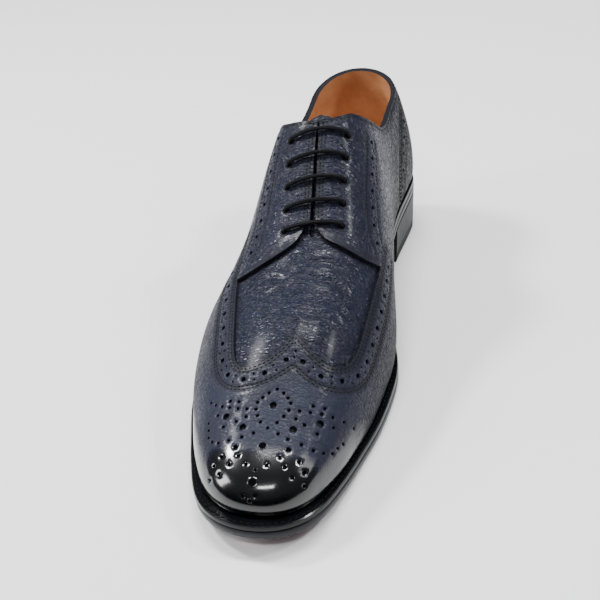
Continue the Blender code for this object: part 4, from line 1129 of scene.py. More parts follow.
def make_upper():
    vertices, faces, indices, first = [], [], [], {}
    polish_and_reflection, calm, shade = [], [], []
    for side in (1, -1):
        u, v = upper_places(side)
        share, _ = station(u)
        for offset in (0.0, -UPPER_WALL):
            sink = crease_sink(side, share, v)
            sheet = standing(side, u, v, offset - sink * (1.0 if offset == 0 else 0.5))
            rows, columns = sheet.shape[:2]
            first[side, offset] = len(vertices)
            points = sheet.reshape(-1, 3)
            vertices.extend(points)
            flip = (side > 0) == (offset == 0.0)
            made = grid_faces(rows, columns, first[side, offset], flip)
            faces.extend(made)
            indices.extend([0 if offset == 0.0 else 1] * len(made))
            polish_and_reflection.append(np.zeros(len(points)))
            calm.append(np.zeros(len(points)))
            tone = side_shade(np.full(len(points), side), v.ravel(), points)
            # painted shade low on the sides, and painted shadow under and beside the panels
            shade.append(np.maximum(tone, painted_panel_shadow(side, u.ravel(), v.ravel(), points)))
        open_rows = REAR_ROWS + FACING_ROWS + THROAT_ROWS
        out, into = first[side, 0.0], first[side, -UPPER_WALL]
        for j, last_row in ((0, rows - 1), (columns - 1, open_rows + 1)):
            for i in range(last_row):
                a, b = i * columns + j, (i + 1) * columns + j
                quad = (out + a, out + b, into + b, into + a)
                faces.append(quad if (side > 0) == (j != 0) else quad[::-1])
                indices.append(2)
    made = add_mesh("upper_wall", vertices, faces, [navy, tan, cut_edge], indices, 50)
    paint_finish_and_shade(made, np.concatenate(polish_and_reflection), np.concatenate(calm), np.concatenate(shade))
    weld = made.modifiers.new("weld", "WELD")
    weld.merge_threshold = 0.00002
    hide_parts("upper")
    return made


# The panels' outlines, as on the source's solids

def edge_line(table, count):
    way = np.linspace(0, 1, len(table["share"]))
    fine = np.linspace(0, 1, count)
    share = smooth_curve(way, table["share"])(fine)
    girth = smooth_curve(way, table["girth"])(fine)
    return np.stack([station_of(share), 1 - np.clip(girth, 0.0, 1.0)], -1)


def over_ridge(side, places):
    """Places (u, v) on the front chart."""
    places = np.asarray(places, float)
    return np.stack([places[:, 0] * LENGTH_SCALE, side * (1 - places[:, 1]) * GIRTH_SCALE], 1)


def quarter_front(side):
    """The quarter's front edge, the part above the wing, and its end: places (u, v)."""
    wing = edge_line(WING_EDGE[side], 60)
    valley = wing[:, 0].argmax()
    wing = wing[valley:][::-1] + np.array([0.0, FIT_GAP / GIRTH_SCALE])
    front = edge_line(QUARTER_EDGE[side], 40)
    front = front[front[:, 1] > np.interp(front[:, 0], wing[:, 0], wing[:, 1]) + 0.004]
    meeting = (front[-1, 0], float(np.interp(front[-1, 0], wing[:, 0], wing[:, 1])))
    end = wing[0] - np.array([FIT_GAP / LENGTH_SCALE, 0.0])
    above = [tuple(p) for p in wing[::-1] if end[0] + 0.004 < p[0] < meeting[0] - 0.004]
    return front, [meeting] + above + [tuple(end), (end[0], 0.0)]


def counter_line(side):
    rim_u, rim_v = collar_edge(side)
    way = np.linspace(0, 1, len(COUNTER_EDGE["share"]))
    fine = np.linspace(0, 1, 40)
    u = station_of(smooth_curve(way, COUNTER_EDGE["share"])(fine))
    height = smooth_curve(way, COUNTER_EDGE["height"])(fine)
    rim = np.interp(u[0], rim_u[:REAR_ROWS], rim_v[:REAR_ROWS])
    return np.stack([u, height * rim], -1)


def strip_of_holes(chart, middle, pitch, big, small, apart):
    """Large holes along a row, and a pair of small ones across it between each two."""
    row = spaced_row(chart, middle, pitch / 2)
    points = at(chart, row)
    ahead = np.gradient(points, axis=0)
    ahead /= np.linalg.norm(ahead, axis=1, keepdims=True)
    out = frames(chart, row)[2]
    across = np.cross(out, ahead)
    pairs = np.arange(1, len(row), 2)
    holes = [(place, big) for place in row[::2]]
    for way in (1, -1):
        holes += [(place, small) for place in step(chart, row[pairs], across[pairs] * way * apart)]
    return holes




# The wing cap and its medallion

WING_STRIP = 0.0112
STRIP_PITCH = 0.0108

# The medallion on the cap: millimetres across from its middle line (mirrored) and from the back of the sole
MEDALLION = dict(
    large=((0.0, 252.0), (21.2, 255.5), (11.4, 262.3), (0.0, 271.9), (0.0, 288.7)),
    middle=((11.8, 272.0),),
    small=((0.0, 244.4), (3.4, 246.2), (5.8, 248.3), (7.6, 250.5), (7.5, 253.8), (12.0, 253.3), (16.4, 252.6),
           (20.8, 251.2), (25.0, 249.6), (29.0, 247.4), (32.2, 244.8), (16.9, 249.2), (21.4, 248.0),
           (6.0, 256.9),
           (11.3, 257.2), (15.4, 259.0), (26.0, 253.6), (30.0, 255.6), (3.8, 260.0), (0.0, 263.3),
           (5.6, 265.3),
           (10.4, 267.2), (21.0, 260.6), (28.6, 259.6), (16.2, 268.2), (21.0, 268.4), (24.6, 266.6),
           (27.4, 263.5),
           (9.2, 276.2), (17.0, 275.8), (4.6, 280.4), (12.2, 280.0), (19.6, 279.0), (15.8, 283.2),
           (20.2, 283.4),
           (0.0, 283.6), (2.6, 292.2), (0.0, 294.8)),
)


def find_on_cap(across, distance):
    """The chart places on the cap at millimetres across and from the back of the sole."""
    u = np.linspace(0.6, 0.998, 150)
    b = np.linspace(-0.999, 0.999, 161) * GIRTH_SCALE
    grid = np.stack(np.meshgrid(u * LENGTH_SCALE, b, indexing="ij"), -1).reshape(-1, 2)
    seen = at(front_chart, grid) - stand
    flat = np.stack([seen[:, 0], SOLE_LENGTH / 2 - seen[:, 1]], 1)
    tree = tree_of(flat)
    wanted = np.stack([across, distance], 1) / 1000
    places = np.array([grid[tree.find((*p, 0.0))[1]] for p in wanted])
    small = 1e-5
    for _ in range(4):
        here = at(front_chart, places) - stand
        here = np.stack([here[:, 0], SOLE_LENGTH / 2 - here[:, 1]], 1)
        slopes = []
        for move in ((small, 0.0), (0.0, small)):
            there = at(front_chart, places + move) - stand
            slopes.append((np.stack([there[:, 0], SOLE_LENGTH / 2 - there[:, 1]], 1) - here) / small)
        (ax, ay), (bx, by) = slopes[0].T, slopes[1].T
        miss = wanted - here
        det = ax * by - ay * bx
        det = np.where(np.abs(det) < 1e-3, 1e-3, det)
        move = np.stack([(miss[:, 0] * by - miss[:, 1] * bx) / det,
                         (ax * miss[:, 1] - ay * miss[:, 0]) / det], 1)
        places = places + np.clip(move, -0.002, 0.002)
    return places


TOE_LINE = 262.0


def medallion_holes():
    """The medallion's holes beside the toe's middle line, and apart from them those that lie on it."""
    across, distance, radius = [], [], []
    on_line = []
    for size, r in (("large", 0.00170), ("middle", 0.00118), ("small", 0.00082)):
        for x, s in MEDALLION[size]:
            if x == 0 and s > TOE_LINE:
                on_line.append((s, r))
                continue
            lean = 1.6 - 0.045 * (s - 250.0)
            for way in ((1, -1) if x > 0 else (1,)):
                across.append(way * x + lean)
                distance.append(s - 0.06 * way * x)
                radius.append(r)
    places = find_on_cap(np.array(across), np.array(distance))
    return list(zip(places, radius)), on_line


def make_line_holes(on_line):
    """Small cups for the holes on the toe's middle line, where the two halves of the chart meet; their dark
    floors are painted shade.
    """
    v = np.linspace(0, 1, 200)
    line = standing(np.ones(200), np.ones(200), v, OUTER)
    out = line - standing(np.ones(200), np.ones(200), v, 0.0)
    distance = SOLE_LENGTH / 2 - (line[:, 1] - stand[1])
    order = np.argsort(distance)
    vertices, faces, indices = [], [], []
    columns = 24
    turn = np.linspace(0, 2 * math.pi, columns, endpoint=False)
    for s, r in on_line:
        where = s / 1000
        centre = np.array([np.interp(where, distance[order], line[order, k]) for k in range(3)])
        axis = np.array([np.interp(where, distance[order], out[order, k]) for k in range(3)])
        axis /= np.linalg.norm(axis)
        across = np.cross(axis, (1.0, 0.0, 0.0))
        across /= np.linalg.norm(across)
        other = np.cross(axis, across)
        first = len(vertices)
        profile = ((0.15 * r, 0.00004), (0.88 * r, 0.00004), (r, 0.00008),
                   (1.22 * r, 0.00009), (1.5 * r, -0.00012))
        for radius, height in profile:
            for t in turn:
                outward = math.cos(t) * across + math.sin(t) * other
                vertices.append(centre + axis * height + radius * outward)
        faces.append(tuple(range(first, first + columns)))
        indices.append(1)
        for level in range(len(profile) - 1):
            a = first + level * columns
            faces += [(a + j, a + columns + j, a + columns + (j + 1) % columns, a + (j + 1) % columns)
                      for j in range(columns)]
            indices += [1 if level < 2 else 0] * columns
    made = add_mesh("toe_line_holes", vertices, faces, [navy_cap, hole_shadow], indices, 60)
    places = np.array(vertices)
    paint_finish_and_shade(made, toe_polish_and_reflection(places), np.ones(len(vertices)), np.zeros(len(vertices)))


wing_edges = {side: over_ridge(side, edge_line(WING_EDGE[side], 160)) for side in (1, -1)}
whole_edge = np.vstack([wing_edges[-1][::-1], wing_edges[1][1:]])
end_u = {side: WING_EDGE[side]["share"][-1] for side in (1, -1)}
foot_u = {side: float(station_of(end_u[side])) for side in (1, -1)}
wing_loop = np.vstack([
    wing_edges[1][:-1],
    np.linspace(wing_edges[1][-1], (foot_u[1] * LENGTH_SCALE, GIRTH_SCALE), 12)[:-1],
    np.linspace((foot_u[1] * LENGTH_SCALE, GIRTH_SCALE), (LENGTH_SCALE, GIRTH_SCALE), 130)[:-1],
    np.linspace((LENGTH_SCALE, GIRTH_SCALE), (LENGTH_SCALE, -GIRTH_SCALE), 101)[:-1],
    np.linspace((LENGTH_SCALE, -GIRTH_SCALE), (foot_u[-1] * LENGTH_SCALE, -GIRTH_SCALE), 130)[:-1],
    np.linspace((foot_u[-1] * LENGTH_SCALE, -GIRTH_SCALE), wing_edges[-1][-1], 12)[:-1],
    wing_edges[-1][:0:-1],
])
middle_line = (wing_loop[:, 0] > LENGTH_SCALE - 1e-9) & (np.abs(wing_loop[:, 1]) < GIRTH_SCALE - 1e-9)
wing_cut = wing_loop[~middle_line]
toward_cap = -1
wing_rows = [beside(front_chart, whole_edge, distance, toward_cap)
             for distance in (0.0013, 0.0029, WING_STRIP - 0.0006, WING_STRIP + 0.0010)]
strip_middle = beside(front_chart, whole_edge, WING_STRIP / 2 + 0.0012, toward_cap)
peak = int(np.abs(strip_middle[:, 1]).argmin())
strip_holes = (strip_of_holes(front_chart, strip_middle[peak:], STRIP_PITCH, 0.00125, 0.00050, 0.0016)
               + strip_of_holes(front_chart, strip_middle[:peak][::-1], STRIP_PITCH, 0.00125, 0.00050,
                                0.0016)[1:])


def cap_calm(points):
    """The cap is pulled smooth over the last; the wings keep their grain."""
    forward = forward_of(points)
    return 0.25 + 0.6 * smooth_step((forward - 0.225) / 0.02)


beside_line, on_line = medallion_holes()
make_line_holes(on_line)
make_panel("wing_cap_leather", "wing_cap", front_chart, wing_loop, 0.0017, strip_holes + beside_line,
           wing_rows, navy_cap, cap_calm, drawn_ready=True, cut=wing_cut)
make_stitches("wing_cap_stitches", [seam(front_chart, row, OUTER - SEAM_SINK) for row in wing_rows],
              navy_thread)


# The quarters, with the doubled facing edge, the curved front and a strip of holes down the side

SIDE_STRIP = {
    1: dict(share=(0.318, 0.352, 0.395, 0.440, 0.482, 0.505),
            girth=(0.432, 0.436, 0.432, 0.440, 0.470, 0.530)),
    -1: dict(share=(0.335, 0.375, 0.420, 0.470, 0.520, 0.560),
             girth=(0.320, 0.335, 0.345, 0.350, 0.352, 0.372)),
}
STRIP_HALF = 0.0042


def quarter_outline(side):
    """The quarter's loop, its edge from the top of the facing to the front, and its topline."""
    rim_u, rim_v = collar_edge(side)
    line = counter_line(side) + np.array([FIT_GAP / LENGTH_SCALE * 2, 0.0])
    front, under = quarter_front(side)
    rim = np.array([(u, v) for u, v in zip(rim_u, rim_v) if line[0, 0] + 0.003 < u < front[0, 0] - 0.003])
    loop = over_ridge(side, np.vstack([rim, front, under, [(line[-1, 0], 0.0)], line[::-1]]))
    facing_top = station_of(share_at(FACING_TOP))
    edge = over_ridge(side, np.vstack([rim[rim[:, 0] > facing_top - 0.001], front]))
    return loop, edge, over_ridge(side, rim[rim[:, 0] < facing_top + 0.002]), over_ridge(side, front)


quarter_outlines = {side: quarter_outline(side) for side in (1, -1)}
quarter_loops = {side: quarter_outlines[side][0] for side in (1, -1)}
quarter_edges = {side: quarter_outlines[side][1] for side in (1, -1)}
make_upper()


def make_quarter(name, node, side):
    loop, edge, top, front = quarter_outlines[side]
    hand = 1 if side > 0 else -1
    rows = []
    for distance in (0.0016, 0.0034):
        row = beside(front_chart, edge, distance, hand)
        rows.append(row)
    rows.append(beside(front_chart, top, 0.0018, hand))
    strip = over_ridge(side, edge_line(SIDE_STRIP[side], 60))
    rows += [beside(front_chart, strip, STRIP_HALF, way) for way in (1, -1)]
    rows = [row[inside_loop(row, loop)] for row in rows]
    rows = [row for row in rows if len(row) > 6]
    holes = strip_of_holes(front_chart, strip[2:-2], 0.0098, 0.00105, 0.00045, 0.0014)
    for k in range(EYELETS):
        share = np.array([share_at(EYELET_TOP + k * EYELET_PITCH - side * EYELET_SLANT / 2)])
        v = v_at_reach(side, share, EYELET_REACH)
        holes.append((over_ridge(side, [(float(station_of(share)[0]), float(v[0]))])[0], 0.00165))
    make_panel(name, node, front_chart, loop, 0.0021, holes, rows, navy, 0.18, polish_and_reflection=False,
               raised_edge=front)
    return [seam(front_chart, row, OUTER - SEAM_SINK) for row in rows]


sewn = make_quarter("quarter_medial_leather", "quarter_medial", 1)
sewn += make_quarter("quarter_lateral_leather", "quarter_lateral", -1)
make_stitches("quarter_stitches", sewn, navy_thread)


# The heel counter

def make_counter():
    loop, lines = [], {}
    for side in (1, -1):
        rim_u, rim_v = collar_edge(side)
        line = counter_line(side)
        rim = [(u, v) for u, v in zip(rim_u, rim_v) if u < line[0, 0] - 0.003]
        foot = [(u, 0.0) for u in np.linspace(line[-1, 0], 0.0, 30)[1:]]
        part = [(side * u * LENGTH_SCALE, v * GIRTH_SCALE) for u, v in rim + [tuple(p) for p in line] + foot]
        lines[side] = np.array([(side * u * LENGTH_SCALE, v * GIRTH_SCALE) for u, v in line])
        loop += part if side > 0 else part[1:-1][::-1]
    rows, holes = [], []
    for side, hand in ((1, 1), (-1, -1)):
        rows += [beside(back_chart, lines[side], distance, hand) for distance in (0.0013, 0.0028, 0.0098)]
        middle = beside(back_chart, lines[side], 0.0062, hand)
        holes += strip_of_holes(back_chart, middle[6:-3], 0.0098, 0.00105, 0.00045, 0.0014)
    loop = np.array(loop)
    rows = [row[inside_loop(row, loop)] for row in rows]
    rows = [row for row in rows if len(row) > 6]
    make_panel("heel_counter_leather", "heel_counter", back_chart, loop, 0.0021, holes, rows, navy, 0.10,
               polish_and_reflection=False)
    make_stitches("heel_counter_stitches", [seam(back_chart, row, OUTER - SEAM_SINK) for row in rows],
                  navy_thread)


make_counter()


# The tongue

LACE_RADIUS = LACE_DIAMETER / 2
LACE_OVER = OUTER + FIT_GAP + LACE_LIFT + LACE_RADIUS
LACE_UNDER = -(UPPER_WALL + FIT_GAP + LACE_LIFT + LACE_RADIUS)


def tongue_offset(u):
    share, _ = station(u)
    start, end = share_at(THROAT - 0.002), share_at(THROAT + TONGUE_TUCK)
    way = smooth_step((share - start) / (end - start))
    deep = LACE_UNDER - LACE_RADIUS - LACE_LIFT - FIT_GAP
    shallow = -(UPPER_WALL + 2 * FIT_GAP)
    return deep + (shallow - deep) * way


def make_tongue():
    top, bottom = share_at(FACING_TOP - TONGUE_PROUD), share_at(THROAT + TONGUE_TUCK)
    rows, columns = 110, 90
    way = np.linspace(0, 1, rows)[:, None] * np.ones(columns)
    across = np.linspace(-1, 1, columns)[None, :] * np.ones((rows, 1))
    # the cut top is a little uneven and its corners are rounded off
    worn = 0.0016 * np.abs(across)**3 + 0.00035 * np.sin(across * 11) + 0.00020 * np.sin(across * 27 + 1)
    share = top + (bottom - top) * way + worn / FEATHER_LENGTH * (1 - way)
    half = TONGUE_HALF_WIDTH * (1 - 0.12 * way)
    reach = np.abs(across) * half
    v = v_at_reach(np.sign(across).ravel() + (across.ravel() == 0), share.ravel(), reach.ravel())
    side = np.where(across < 0, -1.0, 1.0).ravel()
    u = station_of(share.ravel())
    ripple = 0.00018 * np.sin(way.ravel() * 60 + 3 * across.ravel()) * smooth_step((0.3 - way.ravel()) / 0.3)
    upper_face = standing(side, u, v, tongue_offset(u) - 0.0001 + ripple)
    under_face = standing(side, u, v, tongue_offset(u) - TONGUE)
    count = rows * columns
    faces = list(grid_faces(rows, columns, 0, True)) + list(grid_faces(rows, columns, count, False))
    indices = [0] * len(faces[:len(faces) // 2]) + [1] * (len(faces) // 2)
    rim = ([j for j in range(columns)] + [i * columns + columns - 1 for i in range(1, rows)]
           + [(rows - 1) * columns + j for j in range(columns - 2, -1, -1)]
           + [i * columns for i in range(rows - 2, 0, -1)])
    for a, b in zip(rim, rim[1:] + rim[:1]):
        faces.append((a, b, b + count, a + count))
        indices.append(2)
    made = add_mesh("tongue_leather", np.vstack([upper_face, under_face]), faces, [navy, tan, cut_edge],
                    indices, 50)
    # painted shade over the whole tongue, darker toward its top edge
    edge = np.concatenate([np.exp(-(way.ravel() / 0.02)**2)] * 2)
    paint_finish_and_shade(made, 0 * edge, 0 * edge + 0.1, np.clip(0.35 + 0.4 * edge, 0, 1))
    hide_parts("tongue")


make_tongue()


# The lace: five bars over the tongue, down through the holes and back under the facings

def eyelet_distance(k, side):
    return EYELET_TOP + k * EYELET_PITCH - side * EYELET_SLANT / 2


def lace_route():
    """Places (side, distance from the back, reach from the ridge, height above the last) along the lace."""
    bend = LACE_BEND
    mid = bend * (1 - math.sqrt(0.5))
    reach = EYELET_REACH
    route = []
    for k in range(EYELETS):
        near = -1 if k % 2 == 0 else 1
        centre = EYELET_TOP + k * EYELET_PITCH
        s = {side: eyelet_distance(k, side) for side in (1, -1)}
        if k == 0:
            route.append((near, s[near], reach, LACE_UNDER))
        half = {side: (s[side] + centre) / 2 for side in (1, -1)}
        over = ((0.0, LACE_OVER - bend), (mid, LACE_OVER - mid), (bend, LACE_OVER))
        route += [(near, s[near], reach - inward, height) for inward, height in over]
        route += [(near, half[near], reach / 2, LACE_OVER), (near, centre, 0.0, LACE_OVER),
                  (-near, half[-near], reach / 2, LACE_OVER)]
        route += [(-near, s[-near], reach - inward, height) for inward, height in over[::-1]]
        if k < EYELETS - 1:
            here, there = s[-near], s[-near] + EYELET_PITCH
            under = ((0.0, LACE_UNDER + bend), (mid, LACE_UNDER + mid), (bend, LACE_UNDER))
            route += [(-near, here + forward, reach, height) for forward, height in under]
            route += [(-near, there - forward, reach, height) for forward, height in under[::-1]]
    s, outer = eyelet_distance(EYELETS - 1, 1), reach + LACE_SPACING
    route += [(1, s, reach, LACE_UNDER + bend), (1, s, reach + mid, LACE_UNDER + mid),
              (1, s - mid, outer - mid, LACE_UNDER), (1, s - 2 * bend, outer, LACE_UNDER)]
    route += [(1, eyelet_distance(k, 1), outer, LACE_UNDER) for k in range(EYELETS - 2, -1, -1)]
    return route


def placed(places):
    """World points over the instep, from (side, distance from the back, reach from the ridge, height)."""
    side, distance, reach, height = np.array(places, float).T
    share = share_at(distance)
    v = np.where(reach > 0, v_at_reach(side, share, reach), 1.0)
    return standing(side, station_of(share), v, height)


def rounded_path(points, spacing, passes=2):
    """The corners cut twice, then points at even steps."""
    points = np.asarray(points)
    for _ in range(passes):
        quarter = points[:-1] * 0.75 + points[1:] * 0.25
        later = points[:-1] * 0.25 + points[1:] * 0.75
        points = np.vstack([points[:1], np.stack([quarter, later], 1).reshape(-1, 3), points[-1:]])
    lengths = np.concatenate([[0], np.cumsum(np.linalg.norm(np.diff(points, axis=0), axis=1))])
    wanted = np.arange(0, lengths[-1], spacing)
    return np.stack([np.interp(wanted, lengths, points[:, axis]) for axis in range(3)], 1)


def tube(name, path, radius, sides, finish_used):
    ahead = np.gradient(path, axis=0)
    ahead /= np.linalg.norm(ahead, axis=1, keepdims=True)
    up = np.array([0.0, 0.0, 1.0])
    vertices, chart_places = [], []
    travelled = 0.0
    turn = np.linspace(0, 2 * math.pi, sides, endpoint=False)
    for k, (point, way) in enumerate(zip(path, ahead)):
        up = up - way * np.dot(up, way)
        up /= np.linalg.norm(up)
        across = np.cross(way, up)
        travelled += np.linalg.norm(path[k] - path[k - 1]) if k else 0.0
        for t in turn:
            vertices.append(point + radius * (math.cos(t) * across + math.sin(t) * up))
            chart_places.append((travelled, t / (2 * math.pi)))
    faces = []
    for k in range(len(path) - 1):
        a = k * sides
        faces += [(a + j, a + (j + 1) % sides, a + sides + (j + 1) % sides, a + sides + j)
                  for j in range(sides)]
    faces.append(tuple(range(sides))[::-1])
    faces.append(tuple(range(len(vertices) - sides, len(vertices))))
    made = add_mesh(name, vertices, faces, [finish_used], None, 60)
    set_chart(made, chart_places)
    return made


lace = tube("round_lace", rounded_path(placed(lace_route()), 0.0005), LACE_RADIUS, 14, lace_cotton)
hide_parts("laces")


# Dished leather rings round the lace holes

def make_eyelet_rims():
    vertices, faces = [], []
    columns = 20
    profile = ((0.00160, -0.0009), (0.00162, -0.0002), (0.00185, 0.00006),
               (0.00225, 0.00002), (0.00260, -0.00012))
    centres = []
    for side in (1, -1):
        share = share_at(eyelet_distance(np.arange(EYELETS), side))
        v = v_at_reach(side, share, EYELET_REACH)
        centres.append(over_ridge(side, np.stack([station_of(share), v], 1)))
    centres = np.vstack(centres)
    levels = [at(front_chart, rings(front_chart, centres, np.full(len(centres), radius), columns).reshape(-1, 2),
                 OUTER + height).reshape(len(centres), columns, 3) for radius, height in profile]
    for k in range(len(centres)):
        first = len(vertices)
        for level in levels:
            vertices.extend(level[k])
        for level in range(len(profile) - 1):
            a = first + level * columns
            faces += [(a + j, a + columns + j, a + columns + (j + 1) % columns, a + (j + 1) % columns)
                      for j in range(columns)]
    made = add_mesh("eyelet_rims", vertices, faces, [cut_edge], None, 60)


make_eyelet_rims()


# The sole: outsole, welt with its stitches, insole and heel

SOLE_ROWS = 150


def raised(outline, extra):
    """Points over a plan outline, at a height above the sole's underside line or above the floor."""
    s = outline[:, 1]
    height = extra(s) if callable(extra) else sole_height(s) + extra
    return np.stack([outline[:, 0], SOLE_LENGTH / 2 - s, height], -1) + stand


def make_stack(name, node, levels, level_material, materials, closed=False, angle=35):
    """A solid through closed loops, bottom first; level_material gives the material between two loops."""
    count = len(levels[0])
    faces, indices = [], []
    pairs = len(levels) if closed else len(levels) - 1
    for level in range(pairs):
        low, high = level * count, (level + 1) % len(levels) * count
        for k in range(count):
            after = (k + 1) % count
            faces.append((low + k, low + after, high + after, high + k))
            indices.append(level_material[level])
    if not closed:
        points = [Vector(p[:2]) for p in levels[0]]
        edges = [(k, (k + 1) % count) for k in range(count)]
        cap = delaunay_2d_cdt(points, edges, [], 1, 1e-9)[2]
        top = (len(levels) - 1) * count
        faces += [tuple(t)[::-1] for t in cap] + [tuple(top + k for k in t) for t in cap]
        indices += [level_material[-2]] * len(cap) + [level_material[-1]] * len(cap)
    made = add_mesh(name, np.vstack(levels), faces, materials, indices, angle)
    made.data.update()
    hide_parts(node)
    return made


def sole_level(share, inset, extra):
    return raised(sole_outline(share, inset, SOLE_ROWS), extra)


make_stack("outsole_leather", "outsole", [
    sole_level(1, 0.0060, 0.0), sole_level(1, 0.0014, 0.0), sole_level(1, 0.0006, 0.0003),
    sole_level(1, 0.0001, 0.0011), sole_level(1, 0.0, OUTSOLE - 0.0012),
    sole_level(1, 0.0004, OUTSOLE - 0.0004),
    sole_level(1, 0.0009, OUTSOLE - 0.0001), sole_level(1, 0.0040, OUTSOLE)],
    [1, 1, 0, 0, 0, 0, 0, 1, 0], [slate_edge, underside])

welt_base = OUTSOLE + FIT_GAP
insole_inset = UPPER_WALL + 4 * FIT_GAP
make_stack("welt_leather", "welt", [
    sole_level(1, 0.0018, welt_base - 0.0001), sole_level(1, 0.0005, welt_base),
    sole_level(1, 0.0, welt_base + 0.0005),
    sole_level(1, 0.0, welt_base + WELT - 0.0012), sole_level(1, 0.0003, welt_base + WELT - 0.0004),
    sole_level(1, 0.0009, welt_base + WELT), sole_level(0.62, 0.0, welt_base + WELT - 0.0001),
    sole_level(0, insole_inset - FIT_GAP, welt_base + WELT),
    sole_level(0, insole_inset - FIT_GAP, welt_base)],
    [0] * 9, [black_edge], closed=True)


def welt_seam():
    """Stitches along the welt, a little inside its edge, from the waist round the toe."""
    outline = sole_outline(1, 0.0021, 400)
    outline = outline[outline[:, 1] > HEEL_LENGTH + 0.002]
    split = int(np.argmax(np.linalg.norm(np.diff(outline, axis=0), axis=1))) + 1
    parts = [outline]
    if np.linalg.norm(outline[split] - outline[split - 1]) > 0.02:
        parts = [outline[:split], outline[split:]]
    seams = []
    for part in parts:
        lengths = np.concatenate([[0], np.cumsum(np.linalg.norm(np.diff(part, axis=0), axis=1))])
        wanted = np.arange(0, lengths[-1], 0.0031)
        row = np.stack([np.interp(wanted, lengths, part[:, axis]) for axis in (0, 1)], 1)
        points = raised(row, welt_base + WELT + 0.00002)
        seams.append((points, np.tile((0.0, 0.0, 1.0), (len(points), 1))))
    return seams


make_stitches("welt_stitches", welt_seam(), black_thread, 0.70, 0.00028)


def heel_level(inset, extra):
    breast = float(station_of(share_at(HEEL_LENGTH)))
    rows = 90
    outline = sole_outline(1, inset, rows, 0.0, breast)
    medial_end, lateral_end = outline[rows], outline[rows + 1]
    way = np.linspace(0, 1, 30)[1:-1, None]
    across = medial_end + (lateral_end - medial_end) * way
    across[:, 1] -= BREAST_HOLLOW * 4 * way[:, 0] * (1 - way[:, 0])
    return raised(np.vstack([outline[:rows + 1], across, outline[rows + 1:]]), extra)


def flat_height(height):
    return lambda s: 0 * s + height


make_stack("heel_top_rubber", "heel_top_piece", [
    heel_level(HEEL_TAPER + 0.0008, flat_height(0.0)), heel_level(HEEL_TAPER + 0.0001, flat_height(0.0006)),
    heel_level(HEEL_TAPER * 0.85, flat_height(TOP_PIECE - 0.0003)),
    heel_level(HEEL_TAPER * 0.85 + 0.0004, flat_height(TOP_PIECE))],
    [0] * 5, [rubber])
make_stack("heel_lifts_leather", "heel_stack", [
    heel_level(HEEL_TAPER * 0.8 + 0.0004, flat_height(TOP_PIECE + 0.0001)),
    heel_level(HEEL_TAPER * 0.8, flat_height(TOP_PIECE + 0.0004)),
    heel_level(HEEL_TAPER * 0.2, lambda s: sole_height(s) - FIT_GAP - 0.003),
    heel_level(0.0002, lambda s: sole_height(s) - FIT_GAP - 0.0004),
    heel_level(0.0006, lambda s: sole_height(s) - FIT_GAP)],
    [0] * 6, [lifts])

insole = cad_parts["insole"]
for place in range(max(1, len(insole.data.materials))):
    if len(insole.data.materials):
        insole.data.materials[place] = sock
    else:
        insole.data.materials.append(sock)


# The floor, the light and the camera

def add_floor():
    made, n, shader = finish("pale_floor")
    place = n.add("ShaderNodeTexCoord").outputs["Object"]
    cloud = n.noise(place, 3.0, 3.0)
    n.finish(shader, "Base Color", n.mix(cloud, (0.82, 0.82, 0.825), (0.86, 0.86, 0.865)))
    shader.inputs["Roughness"].default_value = 0.55
    mesh = bpy.data.meshes.new("floor")
    half = 4.0
    corners = [(-half, -half, 0), (half, -half, 0), (half, half, 0), (-half, half, 0)]
    mesh.from_pydata(corners, [], [(0, 1, 2, 3)])
    mesh.materials.append(made)
    floor = bpy.data.objects.new("floor", mesh)
    bpy.context.scene.collection.objects.link(floor)


def add_light(name, place, aim_height, size, watts):
    """A soft box that looks at a point over the middle of the floor."""
    light = bpy.data.lights.new(name, "AREA")
    light.shape = "RECTANGLE"
    light.size, light.size_y = size
    light.energy = watts
    made = bpy.data.objects.new(name, light)
    made.location = place
    toward = Vector((0, 0, aim_height)) - Vector(place)
    made.rotation_euler = toward.to_track_quat("-Z", "Y").to_euler()
    bpy.context.scene.collection.objects.link(made)


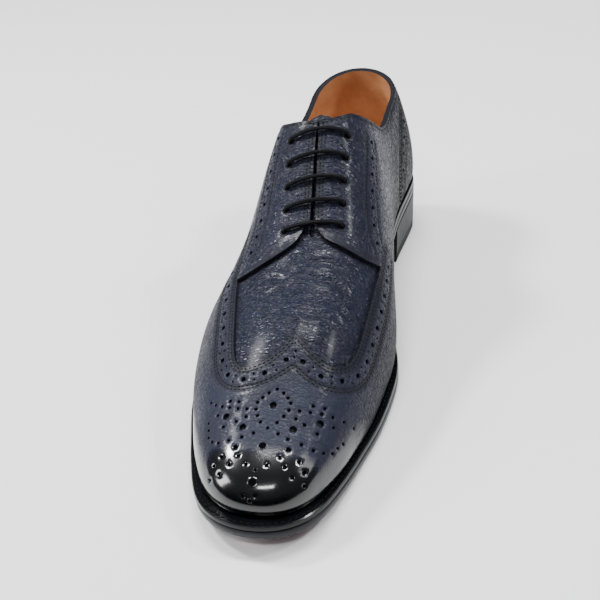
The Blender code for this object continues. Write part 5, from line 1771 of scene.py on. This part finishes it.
def add_world():
    world = bpy.data.worlds.new("room")
    bpy.context.scene.world = world
    world.use_nodes = True
    n = Nodes(world.node_tree)
    direction = n.add("ShaderNodeTexCoord").outputs["Generated"]
    parts = n.add("ShaderNodeSeparateXYZ", {0: direction})
    up = n.ramp(parts.outputs["Z"], 0.0, 0.75)
    front = n.math("MULTIPLY", n.ramp(parts.outputs["Y"], -0.25, -0.75), n.math("SUBTRACT", 1.0, up))
    tone = n.mix(up, (0.30, 0.30, 0.31), (0.60, 0.61, 0.65))
    shader = world.node_tree.nodes["Background"]
    n.finish(shader, "Color", n.mix(front, tone, (0.004, 0.004, 0.005)))
    shader.inputs["Strength"].default_value = 0.40


def add_camera():
    """Where the photo was taken from, turned to the shoe and with a longer lens."""
    yaw, pitch, roll = -0.120, 0.587, -0.018
    forward = np.array([math.sin(yaw) * math.cos(pitch), math.cos(yaw) * math.cos(pitch), -math.sin(pitch)])
    right = np.array([math.cos(yaw), -math.sin(yaw), 0.0])
    up = np.cross(right, forward)
    right, up = right * math.cos(roll) + up * math.sin(roll), up * math.cos(roll) - right * math.sin(roll)
    aim_across, aim_down, focal = (207 - 300) / 603, (330 - 300) / 603, 950.0
    forward = forward + right * aim_across - up * aim_down
    forward /= np.linalg.norm(forward)
    right = np.cross(forward, up)
    right /= np.linalg.norm(right)
    up = np.cross(right, forward)
    lens = bpy.data.cameras.new("camera")
    lens.sensor_width = 36.0
    lens.lens = focal / 600 * 36.0
    lens.clip_start = 0.01
    made = bpy.data.objects.new("camera", lens)
    made.matrix_world = Matrix(((right[0], up[0], -forward[0], 0.117 + stand[0]),
                                (right[1], up[1], -forward[1], -0.403 + stand[1]),
                                (right[2], up[2], -forward[2], 0.331), (0, 0, 0, 1)))
    bpy.context.scene.collection.objects.link(made)
    bpy.context.scene.camera = made


add_floor()
add_world()
add_light("top_softbox", (0.0, 0.34, 1.5), 0.05, (0.8, 0.13), 26)
add_light("upper_left_box", (-0.95, 0.25, 1.15), 0.05, (0.22, 0.20), 20)
add_light("upper_right_box", (0.95, 0.30, 1.15), 0.05, (0.16, 0.20), 11)
add_light("front_strip", (0.05, -0.75, 1.30), 0.03, (0.55, 0.10), 7)
add_light("left_strip", (-1.3, -0.45, 0.75), 0.03, (0.30, 0.7), 12)
add_light("right_strip", (1.3, 0.1, 0.9), 0.03, (0.3, 0.8), 3)
add_camera()
